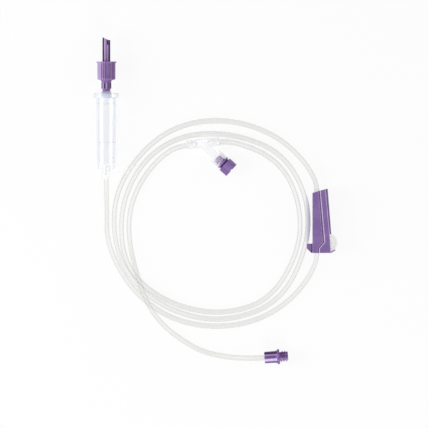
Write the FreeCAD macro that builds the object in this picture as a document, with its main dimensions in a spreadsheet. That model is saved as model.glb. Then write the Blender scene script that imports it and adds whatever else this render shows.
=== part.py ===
# Gravity feeding set: bag spike, drip chamber, roller clamp, side port and patient connector
# on one coiled feeding tube. It lies on its side on the floor z = 0, sizes in millimetres.
import FreeCAD, Part
import math
import os
import Sketcher

Vector = FreeCAD.Vector
Rotation = FreeCAD.Rotation
Placement = FreeCAD.Placement

# Driving dimensions
# Each entry is an alias, its value and what it sizes.
DIMENSIONS = [
    ("tube_diameter", 4.2, "outside of the feeding tube"),
    ("fit_gap", 0.05, "radial gap of glued and running fits"),
    ("lumen_radius", 1.4, "flow bore through the moulded connectors"),
    ("overcut", 1.0, "cuts run this far past a face, joined solids this far into each other"),
    ("chamber_x", -81.6, "axis of the spike and drip chamber"),
    ("chamber_y", 77.1, "underside of the chamber cap's flange"),
    ("flange_radius", 9.4, "chamber cap flange, which the chamber lies on"),
    ("flange_thick", 3.5, "chamber cap flange"),
    ("flange_round", 0.8, "rounded edge of the chamber cap"),
    ("neck_rise", 1.3, "cap neck above the flange"),
    ("neck_top_radius", 3.5, "cap neck at its top"),
    ("neck_foot_radius", 4.1, "cap neck where it meets the flange"),
    ("skirt_length", 4.5, "cap skirt inside the chamber"),
    ("skirt_wall", 0.8, "cap skirt"),
    ("skirt_gap", 0.5, "chamber's even wall begins this far under the skirt"),
    ("nozzle_radius", 1.3, "drop former under the cap"),
    ("nozzle_bore", 0.6, "bore of the drop former"),
    ("nozzle_length", 5.2, "drop former below the flange"),
    ("barrel_top_radius", 7.5, "drip chamber at its top"),
    ("barrel_step_radius", 7.1, "drip chamber at its moulded step"),
    ("barrel_step_drop", 33.3, "step below the flange"),
    ("barrel_step", 0.15, "height of the moulded step"),
    ("barrel_foot_radius", 6.6, "drip chamber at its floor"),
    ("barrel_wall", 0.9, "drip chamber wall"),
    ("barrel_length", 53.3, "drip chamber below the flange"),
    ("barrel_floor", 4.9, "solid floor of the drip chamber"),
    ("barrel_bulge", 0.4, "convex end of the drip chamber"),
    ("socket_depth", 2.8, "outlet sleeve's seat in the chamber floor"),
    ("sleeve_radius", 3.26, "outlet sleeve"),
    ("sleeve_tip_radius", 2.85, "outlet sleeve at its thin end"),
    ("sleeve_taper", 1.5, "tapered end of the outlet sleeve"),
    ("sleeve_length", 7.0, "outlet sleeve below the chamber"),
    ("plug_depth", 3.2, "spike connector's nose inside the cap"),
    ("nose_radius", 3.0, "spike connector's nose"),
    ("nose_length", 2.1, "nose that shows above the cap"),
    ("stem_radius", 3.7, "fluted stem"),
    ("stem_length", 4.7, "fluted stem"),
    ("stem_flutes", 8, "number of flutes round the stem"),
    ("stem_flute_radius", 0.75, "round flute of the stem"),
    ("stem_flute_depth", 0.6, "depth of a stem flute"),
    ("stem_flute_stop", 0.3, "flutes end this far below the cone"),
    ("cone_radius", 4.5, "cone under the collar, at the collar"),
    ("cone_foot_radius", 3.4, "cone under the collar, at the stem"),
    ("cone_length", 1.9, "cone under the collar"),
    ("collar_radius", 6.8, "grip collar round the spike"),
    ("collar_length", 12.4, "grip collar below its lip"),
    ("collar_wall", 1.2, "grip collar"),
    ("collar_round", 1.1, "lower edge of the grip collar"),
    ("collar_lip_radius", 7.6, "lip at the collar's mouth"),
    ("collar_lip", 1.2, "height of the collar's lip"),
    ("cup_depth", 11.0, "threaded cup inside the collar"),
    ("grip_groove_radius", 0.5, "round groove between two grip ribs"),
    ("grip_groove_depth", 0.5, "depth of a grip groove"),
    ("grip_grooves", 6, "grip grooves on each side of the collar"),
    ("grip_pitch", 12.0, "degrees from one grip groove to the next"),
    ("grip_stop", 0.2, "grip grooves end this far below the lip"),
    ("spike_radius", 2.95, "bag spike"),
    ("spike_length", 18.3, "bag spike beyond the lip"),
    ("spike_bevel", 2.1, "height of the slanted tip"),
    ("spike_bevel_end", 1.65, "where the slant meets the flat end, off the axis"),
    ("spike_flute_radius", 0.8, "round flute of the spike"),
    ("spike_flute_depth", 0.25, "depth of a spike flute"),
    ("spike_flute_stop", 5.7, "flutes end this far below the tip"),
    ("spike_window_width", 1.05, "flow window beside the tip"),
    ("spike_window_length", 3.6, "flow window beside the tip"),
    ("spike_window_offset", 1.0, "flow window off the axis"),
    ("clamp_x", 72.8, "clamp's back wall"),
    ("clamp_y", -39.15, "clamp's lower end"),
    ("clamp_depth", 12.5, "clamp over its raised rails"),
    ("rail_height", 0.8, "raised rail on each side wall"),
    ("rail_chamfer", 0.4, "slanted edge of a rail"),
    ("rail_groove_width", 1.3, "shallow groove behind each rail"),
    ("rail_groove_depth", 0.35, "shallow groove behind each rail"),
    ("clamp_side_wall", 1.2, "clamp side wall beside the rail"),
    ("clamp_back_wall", 1.2, "clamp back wall"),
    ("clamp_back_length", 45.1, "clamp along its back wall"),
    ("clamp_front_length", 48.3, "clamp at its open side"),
    ("clamp_top_width", 11.4, "clamp across its top end"),
    ("clamp_wide_at", 14.0, "height where the side wall steps in"),
    ("clamp_step_width", 12.9, "clamp across just under the step"),
    ("clamp_step", 1.2, "the side wall steps in by this much"),
    ("clamp_foot_flare", 1.0, "clamp's lower end is this much wider than under the step"),
    ("clamp_top_rise", 1.7, "rise of the top end to the rail's back edge"),
    ("lip_length", 3.3, "foot lip under the roller"),
    ("lip_rise", 1.9, "rise of the foot lip"),
    ("lip_thick", 0.9, "foot lip"),
    ("lip_slant", 0.3, "slant of the foot lip's end"),
    ("web_thick", 1.0, "end webs that stop the roller"),
    ("top_web_thick", 1.5, "end web at the clamp's top"),
    ("web_start", 7.4, "end webs begin this far from the back wall's face"),
    ("rail_top_left", 5.6, "rail's back edge at the top"),
    ("rail_top_right", 9.7, "rail's front edge at the top"),
    ("rail_top_drop", 0.4, "rail ends this far below the clamp's top"),
    ("rail_knee_left", 9.0, "rail's back edge at its knee"),
    ("rail_knee_height", 8.25, "rail's knee"),
    ("rail_foot_left", 5.0, "widened rail at the foot"),
    ("rail_foot_height", 3.5, "top of the widened foot"),
    ("hook_reach", 4.3, "tube hook behind the clamp"),
    ("hook_height", 7.1, "tube hook"),
    ("hook_slot", 0.9, "slot between hook and back wall"),
    ("hook_foot", 0.7, "web under the hook's slot"),
    ("hook_web", 1.0, "thin web that closes the hook's slot"),
    ("hook_corner", 0.6, "slanted outer corner of the hook"),
    ("hook_width", 3.8, "tube hook across the clamp"),
    ("roller_rest_x", 12.2, "roller at rest, from the back wall's face"),
    ("roller_rest_y", 7.75, "roller at rest, from the lower end"),
    ("roller_travel", 30.0, "roller travel along the clamp"),
    ("roller_closing", 2.9, "how far the travel brings it to the back wall"),
    ("roller_radius", 6.4, "roller"),
    ("roller_side_gap", 0.35, "roller to each side wall"),
    ("roller_rim", 1.5, "width of the roller's rim ring"),
    ("roller_dish", 1.0, "recess of the roller's faces"),
    ("roller_boss_radius", 2.2, "boss round the trunnions"),
    ("roller_teeth", 32, "grip notches round the roller"),
    ("roller_notch_radius", 0.4, "round grip notch"),
    ("roller_notch_depth", 0.3, "depth of a grip notch"),
    ("trunnion_radius", 1.2, "trunnions that run in the rails"),
    ("trunnion_end_gap", 0.15, "trunnion end to the groove's floor"),
    ("track_skin", 0.8, "rail wall outside the trunnion groove"),
    ("track_end_gap", 0.2, "trunnion to each end of its groove"),
    ("port_x", -10.35, "side port, where branch and run meet"),
    ("port_y", 43.1, "side port, where branch and run meet"),
    ("port_tilt", 5.94, "degrees that the run rises to the right"),
    ("run_radius", 3.15, "run of the side port"),
    ("run_left", 11.8, "run to the left of the branch"),
    ("run_right", 13.7, "run to the right of the branch"),
    ("run_socket_left", 8.65, "tube socket in the run's left end"),
    ("run_socket_right", 9.2, "tube socket in the run's right end"),
    ("branch_angle", 47.94, "degrees between run and branch"),
    ("branch_radius", 2.6, "branch of the side port"),
    ("branch_length", 13.8, "branch to its collar"),
    ("port_collar_radius", 5.15, "threaded collar of the side port"),
    ("port_collar_length", 7.0, "threaded collar of the side port"),
    ("port_collar_wall", 0.85, "threaded collar of the side port"),
    ("port_collar_floor", 1.2, "floor of the threaded collar"),
    ("port_post_radius", 1.9, "post inside the collar"),
    ("port_post_bore", 1.0, "bore of the post"),
    ("port_post_short", 0.8, "post ends below the collar's mouth"),
    ("cap_gap", 0.2, "port cap's flange to the collar's mouth"),
    ("cap_flange_thick", 1.2, "port cap's flange"),
    ("cap_flange_lap", 0.05, "port cap's flange outside the collar"),
    ("cap_bore_end", 0.4, "port cap's bore ends this far above the flange's face"),
    ("cap_neck_radius", 4.3, "port cap between flange and grip"),
    ("cap_neck_length", 1.1, "port cap between flange and grip"),
    ("cap_grip_radius", 5.8, "port cap's grip"),
    ("cap_grip_length", 7.0, "port cap's grip"),
    ("cap_grip_round", 0.2, "rounded end of the grip"),
    ("cap_plug_length", 5.0, "threaded plug inside the collar"),
    ("cap_plug_radius", 3.1, "root of the plug's thread"),
    ("cap_thread_height", 0.95, "crest of the plug's thread over its root"),
    ("cap_thread_ends", 0.25, "plain plug at each end of its thread"),
    ("cap_post_gap", 0.35, "plug's bore round the post"),
    ("cap_rib_radius", 0.42, "round groove between two of the cap's ribs"),
    ("cap_rib_depth", 0.42, "depth of a groove between the cap's ribs"),
    ("cap_rib_grooves", 7, "grooves in each gripping side"),
    ("cap_rib_pitch", 10.0, "degrees from one groove to the next"),
    ("cap_notch_width", 1.6, "notch across the cap's end"),
    ("cap_notch_depth", 0.5, "notch across the cap's end"),
    ("tube_in_clamp", 2.0, "the clamped stretch begins this far inside the clamp"),
    ("tube_above_stop", 1.0, "and ends this far below the back wall's top"),
    ("tube_back_gap", 0.1, "tube to the clamp's back wall"),
    ("clamp_straight", 5.3, "straight tube at each end of the clamp"),
    ("sleeve_straight", 8.2, "straight tube below the outlet sleeve"),
    ("port_straight", 5.4, "straight tube at each end of the side port"),
    ("end_straight", 5.8, "straight tube behind the end connector"),
    ("thread_pitch", 2.0, "coarse connector thread"),
    ("thread_sunk", 0.1, "thread's ridge begins this far inside its root"),
    ("end_x", 36.8, "end connector's rear face"),
    ("end_y", -117.6, "end connector's rear face"),
    ("end_tilt", 4.2, "degrees that the end connector rises to the right"),
    ("end_rear_radius", 4.35, "end connector's body at the rear"),
    ("end_body_radius", 4.5, "end connector's body at the flange"),
    ("end_body_length", 9.9, "end connector's body"),
    ("end_rear_round", 0.8, "rounded rear of the end connector"),
    ("end_flange_radius", 5.7, "end connector's flange, which it lies on"),
    ("end_flange_thick", 1.5, "end connector's flange"),
    ("end_flange_round", 0.3, "rounded edges of the flange"),
    ("end_flare_radius", 5.2, "body flares to this behind the flange"),
    ("end_flare_length", 1.5, "flare behind the flange"),
    ("end_nose_length", 6.3, "threaded nose of the end connector"),
    ("end_root_radius", 3.35, "root of the outer thread"),
    ("end_thread_height", 0.95, "crest of the outer thread over its root"),
    ("end_thread_start", 0.5, "plain nose between the flange and the thread"),
    ("end_socket_radius", 2.75, "open socket at the patient's end"),
    ("end_socket_depth", 9.0, "open socket at the patient's end"),
    ("end_tube_socket", 7.0, "tube socket at the rear"),
]

# Tube routes
# Points of the tube's line between the moulded pieces, worked by eye from the way the set lies:
# x, y and z. The ends come from the pieces that hold them.
FLOOR_LINE = 2.1
UPPER_ROUTE = [
    (-81.2, -9.7, 5.0), (-81.4, -26.1, FLOOR_LINE), (-77.1, -40.9, FLOOR_LINE),
    (-70.4, -54.1, FLOOR_LINE), (-61.3, -66.7, FLOOR_LINE), (-50.1, -77.3, FLOOR_LINE),
    (-36.3, -86.3, FLOOR_LINE), (-19.1, -92.4, FLOOR_LINE), (1.0, -94.6, FLOOR_LINE),
    (21.1, -92.4, FLOOR_LINE), (39.5, -85.8, FLOOR_LINE), (56.0, -74.6, FLOOR_LINE),
    (67.6, -61.2, FLOOR_LINE), (73.6, -50.8, 4.5),
]
LOWER_ROUTE = [
    (74.0, 17.5, 4.5), (68.4, 26.9, FLOOR_LINE), (59.7, 36.9, FLOOR_LINE),
    (47.7, 46.8, FLOOR_LINE), (31.9, 54.7, FLOOR_LINE), (14.8, 59.3, FLOOR_LINE),
    (-1.7, 60.4, FLOOR_LINE), (-18.2, 58.4, FLOOR_LINE), (-34.3, 52.6, FLOOR_LINE),
    (-49.1, 42.0, FLOOR_LINE), (-60.5, 29.4, FLOOR_LINE), (-69.9, 14.7, FLOOR_LINE),
    (-75.2, -1.0, FLOOR_LINE), (-76.3, -16.8, FLOOR_LINE), (-74.3, -33.3, 3.0),
    (-69.7, -47.7, 4.6), (-60.4, -61.3, 5.3), (-48.0, -73.1, 5.1),
    (-31.6, -82.2, 3.4), (-13.8, -87.8, FLOOR_LINE), (4.3, -89.3, FLOOR_LINE),
    (22.4, -86.1, FLOOR_LINE), (38.0, -79.8, FLOOR_LINE), (50.2, -69.9, FLOOR_LINE),
    (59.0, -57.0, FLOOR_LINE), (66.3, -38.7, FLOOR_LINE), (69.7, -21.3, FLOOR_LINE),
    (68.9, -3.1, FLOOR_LINE), (64.1, 12.5, FLOOR_LINE), (55.4, 27.6, FLOOR_LINE),
    (42.1, 39.3, FLOOR_LINE), (25.2, 46.3, FLOOR_LINE), (6.8, 50.2, FLOOR_LINE),
    (-12.0, 50.4, FLOOR_LINE), (-29.4, 46.4, FLOOR_LINE), (-44.7, 37.5, FLOOR_LINE),
    (-56.2, 25.5, FLOOR_LINE), (-64.5, 11.0, FLOOR_LINE), (-69.7, -5.4, FLOOR_LINE),
    (-70.7, -21.9, FLOOR_LINE), (-69.2, -37.9, FLOOR_LINE), (-63.1, -53.0, FLOOR_LINE),
    (-52.1, -65.1, FLOOR_LINE), (-38.1, -74.2, FLOOR_LINE), (-20.5, -81.0, FLOOR_LINE),
    (-1.7, -84.1, FLOOR_LINE), (17.0, -82.3, FLOOR_LINE), (33.2, -76.8, FLOOR_LINE),
    (45.7, -66.2, FLOOR_LINE), (54.3, -53.2, FLOOR_LINE), (61.1, -37.7, FLOOR_LINE),
    (64.3, -20.4, FLOOR_LINE), (62.4, -2.4, FLOOR_LINE), (57.7, 12.0, FLOOR_LINE),
    (49.9, 24.9, FLOOR_LINE), (38.0, 34.8, FLOOR_LINE), (25.0, 40.6, 3.2),
]
PATIENT_ROUTE = [
    (-39.6, 33.9, 4.0), (-50.5, 22.3, FLOOR_LINE), (-58.9, 8.2, FLOOR_LINE),
    (-63.8, -6.0, FLOOR_LINE), (-65.1, -20.4, FLOOR_LINE), (-63.8, -34.0, 2.6),
    (-61.2, -45.9, 5.8), (-58.4, -55.9, 9.1), (-55.0, -66.8, 9.7), (-50.0, -78.3, 9.4),
    (-43.5, -88.3, 6.5), (-34.9, -97.1, 2.9), (-24.2, -105.1, FLOOR_LINE),
    (-10.2, -112.9, FLOOR_LINE), (4.3, -116.5, FLOOR_LINE), (18.1, -117.9, 3.9),
]
# A tube's bend is as wide as its two runs allow.
BEND_SHARE = 0.45

# A thread's ridge rises to its flat crest and falls again within these shares of the pitch.
CREST_START = 0.28
CREST_END = 0.36
RIDGE_END = 0.64

# Degrees round a piece, from its own X axis towards the camera's side
SPIKE_FLUTE_START = 45
STEM_FLUTE_START = 22.5
COLLAR_GRIP_FACES = (90, 270)
CAP_GRIP_FACES = (35, 215)


class Size:
    """A length, count or angle with its value and the sheet expression behind it."""

    def __init__(self, value, text):
        self.value = value
        self.text = text

    def joined(self, sign, other, value):
        """Return the two sizes joined by one arithmetic sign."""
        right = other.text if isinstance(other, Size) else repr(float(other))
        return Size(value, "(" + self.text + sign + right + ")")

    def __add__(self, other):
        return self.joined(" + ", other, self.value + number(other))

    def __radd__(self, other):
        return self + other

    def __sub__(self, other):
        return self.joined(" - ", other, self.value - number(other))

    def __mul__(self, other):
        return self.joined(" * ", other, self.value * number(other))

    def __truediv__(self, other):
        return self.joined(" / ", other, self.value / number(other))

    def __rsub__(self, other):
        return -self + other

    def __neg__(self):
        return Size(-self.value, "(0 - " + self.text + ")")


def number(size):
    """Return the plain value of a size or a number."""
    return size.value if isinstance(size, Size) else float(size)


def fill_sheet(document):
    """Write the driving dimensions into the sheet and return them as sizes by alias."""
    sheet = document.addObject("Spreadsheet::Sheet", "Sizes")
    sizes = {}
    for row, (alias, value, note) in enumerate(DIMENSIONS, start=1):
        sheet.set("A" + str(row), note)
        sheet.set("B" + str(row), str(value))
        sheet.setAlias("B" + str(row), alias)
        sizes[alias] = Size(float(value), "Sizes." + alias)
    document.recompute()
    return sizes


doc = FreeCAD.newDocument("GravityFeedingSet")
size = fill_sheet(doc)
pieces = []


# Helpers that draw and cut


def origin_feature(body, role):
    """Return an origin plane or axis of the body by its role."""
    return next(item for item in body.Origin.OriginFeatures if item.Role == role)


def bind(target, name, value):
    """Set a property of an object to a size, bound to the sheet where it can be."""
    setattr(target, name, number(value))
    if isinstance(value, Size):
        target.setExpression(name, value.text)


def new_sketch(body, name, role="XY_Plane", height=0.0):
    """Add a sketch on one of the body's own planes, raised along the plane's normal."""
    sketch = body.newObject("Sketcher::SketchObject", name)
    sketch.AttachmentSupport = (origin_feature(body, role), [""])
    sketch.MapMode = "FlatFace"
    sketch.AttachmentOffset = Placement(Vector(0, 0, number(height)), Rotation())
    if isinstance(height, Size):
        sketch.setExpression("AttachmentOffset.Base.z", height.text)
    return sketch


def pin_point(sketch, edge, place, x, y):
    """Hold a point of a sketch at x, y from the sketch's origin."""
    for kind, value in (("DistanceX", x), ("DistanceY", y)):
        row = sketch.addConstraint(
            Sketcher.Constraint(kind, -1, 1, edge, place, number(value))
        )
        if isinstance(value, Size):
            sketch.setExpression("Constraints[" + str(row) + "]", value.text)


def outline(body, name, corners, role="XY_Plane"):
    """Draw a closed outline through corners given as pairs of sizes."""
    sketch = new_sketch(body, name, role)
    points = [Vector(number(x), number(y), 0) for x, y in corners]
    count = len(points)
    for index in range(count):
        sketch.addGeometry(Part.LineSegment(points[index], points[(index + 1) % count]), False)
    for index in range(count):
        sketch.addConstraint(
            Sketcher.Constraint("Coincident", index, 2, (index + 1) % count, 1)
        )
    for index, (x, y) in enumerate(corners):
        pin_point(sketch, index, 1, x, y)
    return sketch


def disc(body, name, centre, radius, role="XY_Plane", height=0.0):
    """Draw a circle on one of the body's planes."""
    sketch = new_sketch(body, name, role, height)
    middle = Vector(number(centre[0]), number(centre[1]), 0)
    sketch.addGeometry(Part.Circle(middle, Vector(0, 0, 1), number(radius)), False)
    pin_point(sketch, 0, 3, *centre)
    row = sketch.addConstraint(Sketcher.Constraint("Radius", 0, number(radius)))
    if isinstance(radius, Size):
        sketch.setExpression("Constraints[" + str(row) + "]", radius.text)
    return sketch


def new_body(label):
    """Start a body that becomes one piece of the set."""
    body = doc.addObject("PartDesign::Body", label)
    body.Label = label
    pieces.append(body)
    return body


def turned(body, name, corners):
    """Turn an outline of radius and height pairs about the body's own Y axis."""
    sketch = outline(body, name + "_outline", corners)
    feature = body.newObject("PartDesign::Revolution", name)
    feature.Profile = sketch
    feature.ReferenceAxis = (sketch, ["V_Axis"])
    feature.Angle = 360
    doc.recompute()
    return feature


def padded(body, name, sketch, thick):
    """Raise an outline evenly to both sides of its plane."""
    feature = body.newObject("PartDesign::Pad", name)
    feature.Profile = sketch
    feature.SideType = "Symmetric"
    bind(feature, "Length", thick)
    doc.recompute()
    return feature


def check_cut(body, name, before):
    """Stop where a cut has taken nothing away."""
    if body.Shape.Volume > before - 1e-6:
        raise RuntimeError(name + " cuts nothing")


def cut_out(body, name, sketch, depth, side="Symmetric", backwards=False):
    """Cut an outline out of the body."""
    before = body.Shape.Volume
    feature = body.newObject("PartDesign::Pocket", name)
    feature.Profile = sketch
    feature.SideType = side
    feature.Reversed = backwards
    bind(feature, "Length", depth)
    doc.recompute()
    check_cut(body, name, before)
    return feature


def polar(body, name, feature, count, span):
    """Repeat a feature round the body's Y axis."""
    pattern = body.newObject("PartDesign::PolarPattern", name)
    pattern.Originals = [feature]
    pattern.Axis = (origin_feature(body, "Y_Axis"), [""])
    pattern.Reversed = True
    bind(pattern, "Angle", span)
    pattern.Occurrences = int(number(count))
    if isinstance(count, Size):
        pattern.setExpression("Occurrences", count.text)
    body.Tip = pattern
    doc.recompute()
    return pattern


def flutes(body, name, ring, radius, depth, low, high, angle, count, span):
    """Cut round flutes along the body's Y axis, the first at an angle from +X."""
    reach = ring + radius - depth
    turn = math.radians(number(angle))
    centre = (reach * math.cos(turn), reach * math.sin(turn))
    sketch = disc(body, name + "_round", centre, radius, "XZ_Plane", -high)
    first = cut_out(body, name, sketch, high - low, "One side", True)
    return polar(body, name + "_ring", first, count, span)


def screw_thread(body, name, root, crest, low, high, pitch):
    """Wind a ridge of three-sided section round the body's Y axis."""
    inside = root - size["thread_sunk"]
    sketch = outline(body, name + "_section", [
        (inside, low),
        (crest, low + pitch * CREST_START),
        (crest, low + pitch * CREST_END),
        (inside, low + pitch * RIDGE_END),
    ])
    feature = body.newObject("PartDesign::AdditiveHelix", name)
    feature.Profile = sketch
    feature.ReferenceAxis = (sketch, ["V_Axis"])
    feature.Mode = "pitch-height-angle"
    bind(feature, "Pitch", pitch)
    bind(feature, "Height", high - low - pitch * RIDGE_END)
    doc.recompute()
    return feature


def rounded(body, name, radius, chosen):
    """Round the edges of the body that a test chooses."""
    base = body.Tip
    edges = base.Shape.Edges
    names = ["Edge" + str(i + 1) for i, edge in enumerate(edges) if chosen(edge)]
    feature = body.newObject("PartDesign::Fillet", name)
    feature.Base = (base, names)
    bind(feature, "Radius", radius)
    doc.recompute()
    return feature


def chamfered(body, name, width, chosen):
    """Slant the edges of the body that a test chooses."""
    base = body.Tip
    edges = base.Shape.Edges
    names = ["Edge" + str(i + 1) for i, edge in enumerate(edges) if chosen(edge)]
    feature = body.newObject("PartDesign::Chamfer", name)
    feature.Base = (base, names)
    bind(feature, "Size", width)
    doc.recompute()
    return feature


def long_edge_at(height):
    """Return a test for edges that run up the body at one distance from its XY plane."""
    def chosen(edge):
        """Tell whether both ends of the edge lie there, one well above the other."""
        first = edge.Vertexes[0].Point
        last = edge.Vertexes[-1].Point
        level = all(abs(abs(spot.z) - number(height)) < 1e-3 for spot in (first, last))
        return level and abs(last.y - first.y) > abs(last.x - first.x)
    return chosen


def ring_at(radius, height):
    """Return a test for full circles of one radius at one height on the Y axis."""
    def chosen(edge):
        """Tell whether the edge is that circle."""
        curve = edge.Curve
        if not isinstance(curve, Part.Circle):
            return False
        near = abs(curve.Radius - number(radius)) < 1e-3
        return near and abs(curve.Center.y - number(height)) < 1e-3
    return chosen


def set_place(piece, x, y, z, rotation=None):
    """Place a piece in the set's frame, its position bound to the sheet."""
    piece.Placement = Placement(
        Vector(number(x), number(y), number(z)), rotation or Rotation()
    )
    for axis, value in (("x", x), ("y", y), ("z", z)):
        if isinstance(value, Size):
            piece.setExpression("Placement.Base." + axis, value.text)


# Spike connector


def spike_connector():
    """Bag spike in its threaded collar, over a fluted stem and a nose."""
    stem_low = size["nose_length"]
    stem_high = stem_low + size["stem_length"]
    collar_low = stem_high + size["cone_length"]
    collar_high = collar_low + size["collar_length"]
    lip_high = collar_high + size["collar_lip"]
    lip_edge = collar_high + size["collar_lip"] * 0.5
    tip = lip_high + size["spike_length"]
    cup_floor = lip_high - size["cup_depth"]
    cup_radius = size["collar_radius"] - size["collar_wall"]
    body = new_body("spike_connector")
    turned(body, "moulding", [
        (size["lumen_radius"], -size["plug_depth"]),
        (size["nose_radius"], -size["plug_depth"]),
        (size["nose_radius"], stem_low),
        (size["stem_radius"], stem_low),
        (size["stem_radius"], stem_high),
        (size["cone_foot_radius"], stem_high),
        (size["cone_radius"], collar_low),
        (size["collar_radius"], collar_low),
        (size["collar_radius"], collar_high),
        (size["collar_lip_radius"], lip_edge),
        (size["collar_lip_radius"], lip_high),
        (cup_radius, lip_high),
        (cup_radius, cup_floor),
        (size["spike_radius"], cup_floor),
        (size["spike_radius"], tip),
        (size["lumen_radius"], tip),
    ])
    rounded(body, "collar_edge", size["collar_round"],
            ring_at(size["collar_radius"], collar_low))
    over = size["spike_radius"] + size["overcut"]
    low_tip = tip - size["spike_bevel"]
    bevel = outline(body, "bevel_outline", [
        (-size["spike_radius"], tip),
        (size["spike_bevel_end"], low_tip),
        (over, low_tip),
        (over, tip + size["overcut"]),
        (-size["spike_radius"], tip + size["overcut"]),
    ])
    cut_out(body, "bevel", bevel, over * 2.0)
    window_left = size["spike_window_offset"] - size["spike_window_width"] * 0.5
    window_right = size["spike_window_offset"] + size["spike_window_width"] * 0.5
    window = outline(body, "window_outline", [
        (window_left, low_tip - size["spike_window_length"]),
        (window_right, low_tip - size["spike_window_length"]),
        (window_right, tip),
        (window_left, tip),
    ])
    cut_out(body, "window", window, over, "One side", True)
    flutes(body, "spike_flute", size["spike_radius"], size["spike_flute_radius"],
           size["spike_flute_depth"], cup_floor, tip - size["spike_flute_stop"],
           SPIKE_FLUTE_START, 4, 360)
    flutes(body, "stem_flute", size["stem_radius"], size["stem_flute_radius"],
           size["stem_flute_depth"], stem_low, stem_high - size["stem_flute_stop"],
           STEM_FLUTE_START, size["stem_flutes"], 360)
    grip_span = size["grip_pitch"] * (size["grip_grooves"] - 1.0)
    for face in COLLAR_GRIP_FACES:
        first = face - number(grip_span) / 2
        flutes(body, "collar_grip_" + str(face), size["collar_radius"],
               size["grip_groove_radius"], size["grip_groove_depth"],
               collar_low + size["collar_round"], collar_high - size["grip_stop"], first,
               size["grip_grooves"], grip_span)
    neck_top = size["flange_thick"] + size["neck_rise"]
    set_place(body, size["chamber_x"], size["chamber_y"] + neck_top, size["flange_radius"])
    return body


# Drip chamber


def chamber_cap():
    """Flanged cap of the drip chamber with its neck, skirt and drop former."""
    neck_top = size["flange_thick"] + size["neck_rise"]
    seat = neck_top - size["plug_depth"] - size["fit_gap"]
    neck_bore = size["nose_radius"] + size["fit_gap"]
    skirt_outer = size["barrel_top_radius"] - size["barrel_wall"] - size["fit_gap"]
    skirt_inner = skirt_outer - size["skirt_wall"]
    body = new_body("chamber_cap")
    turned(body, "moulding", [
        (size["nozzle_bore"], -size["nozzle_length"]),
        (size["nozzle_radius"], -size["nozzle_length"]),
        (size["nozzle_radius"], 0.0),
        (skirt_inner, 0.0),
        (skirt_inner, -size["skirt_length"]),
        (skirt_outer, -size["skirt_length"]),
        (skirt_outer, 0.0),
        (size["flange_radius"], 0.0),
        (size["flange_radius"], size["flange_thick"]),
        (size["neck_foot_radius"], size["flange_thick"]),
        (size["neck_top_radius"], neck_top),
        (neck_bore, neck_top),
        (neck_bore, seat),
        (size["nozzle_bore"], seat),
    ])
    rounded(body, "flange_edge", size["flange_round"],
            ring_at(size["flange_radius"], size["flange_thick"]))
    set_place(body, size["chamber_x"], size["chamber_y"], size["flange_radius"])
    return body


def drip_chamber():
    """Clear tapering barrel with a moulded step, a solid floor and the outlet socket."""
    floor = size["barrel_floor"] - size["barrel_length"]
    foot = -size["barrel_length"]
    seat = foot + size["socket_depth"]
    step = -size["barrel_step_drop"]
    wall = size["barrel_wall"]
    socket = size["sleeve_radius"] + size["fit_gap"]
    lower_radius = size["barrel_step_radius"] - size["barrel_step"]
    body = new_body("drip_chamber")
    turned(body, "barrel", [
        (size["barrel_top_radius"] - wall, 0.0),
        (size["barrel_top_radius"], 0.0),
        (size["barrel_step_radius"], step),
        (lower_radius, step),
        (size["barrel_foot_radius"], foot + size["barrel_bulge"]),
        (socket, foot),
        (socket, seat),
        (size["lumen_radius"], seat),
        (size["lumen_radius"], floor),
        (size["barrel_foot_radius"] - wall, floor),
        (size["barrel_top_radius"] - wall, -size["skirt_length"] - size["skirt_gap"]),
    ])
    set_place(body, size["chamber_x"], size["chamber_y"], size["flange_radius"])
    return body


def outlet_sleeve():
    """Soft sleeve seated in the chamber's floor, round the start of the tube."""
    bore = size["tube_diameter"] * 0.5 + size["fit_gap"]
    top = size["socket_depth"]
    body = new_body("outlet_sleeve")
    turned(body, "sleeve", [
        (bore, -size["sleeve_length"]),
        (size["sleeve_tip_radius"], -size["sleeve_length"]),
        (size["sleeve_radius"], size["sleeve_taper"] - size["sleeve_length"]),
        (size["sleeve_radius"], top),
        (bore, top),
    ])
    set_place(body, size["chamber_x"], size["chamber_y"] - size["barrel_length"],
              size["flange_radius"])
    return body


# Roller clamp


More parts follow.
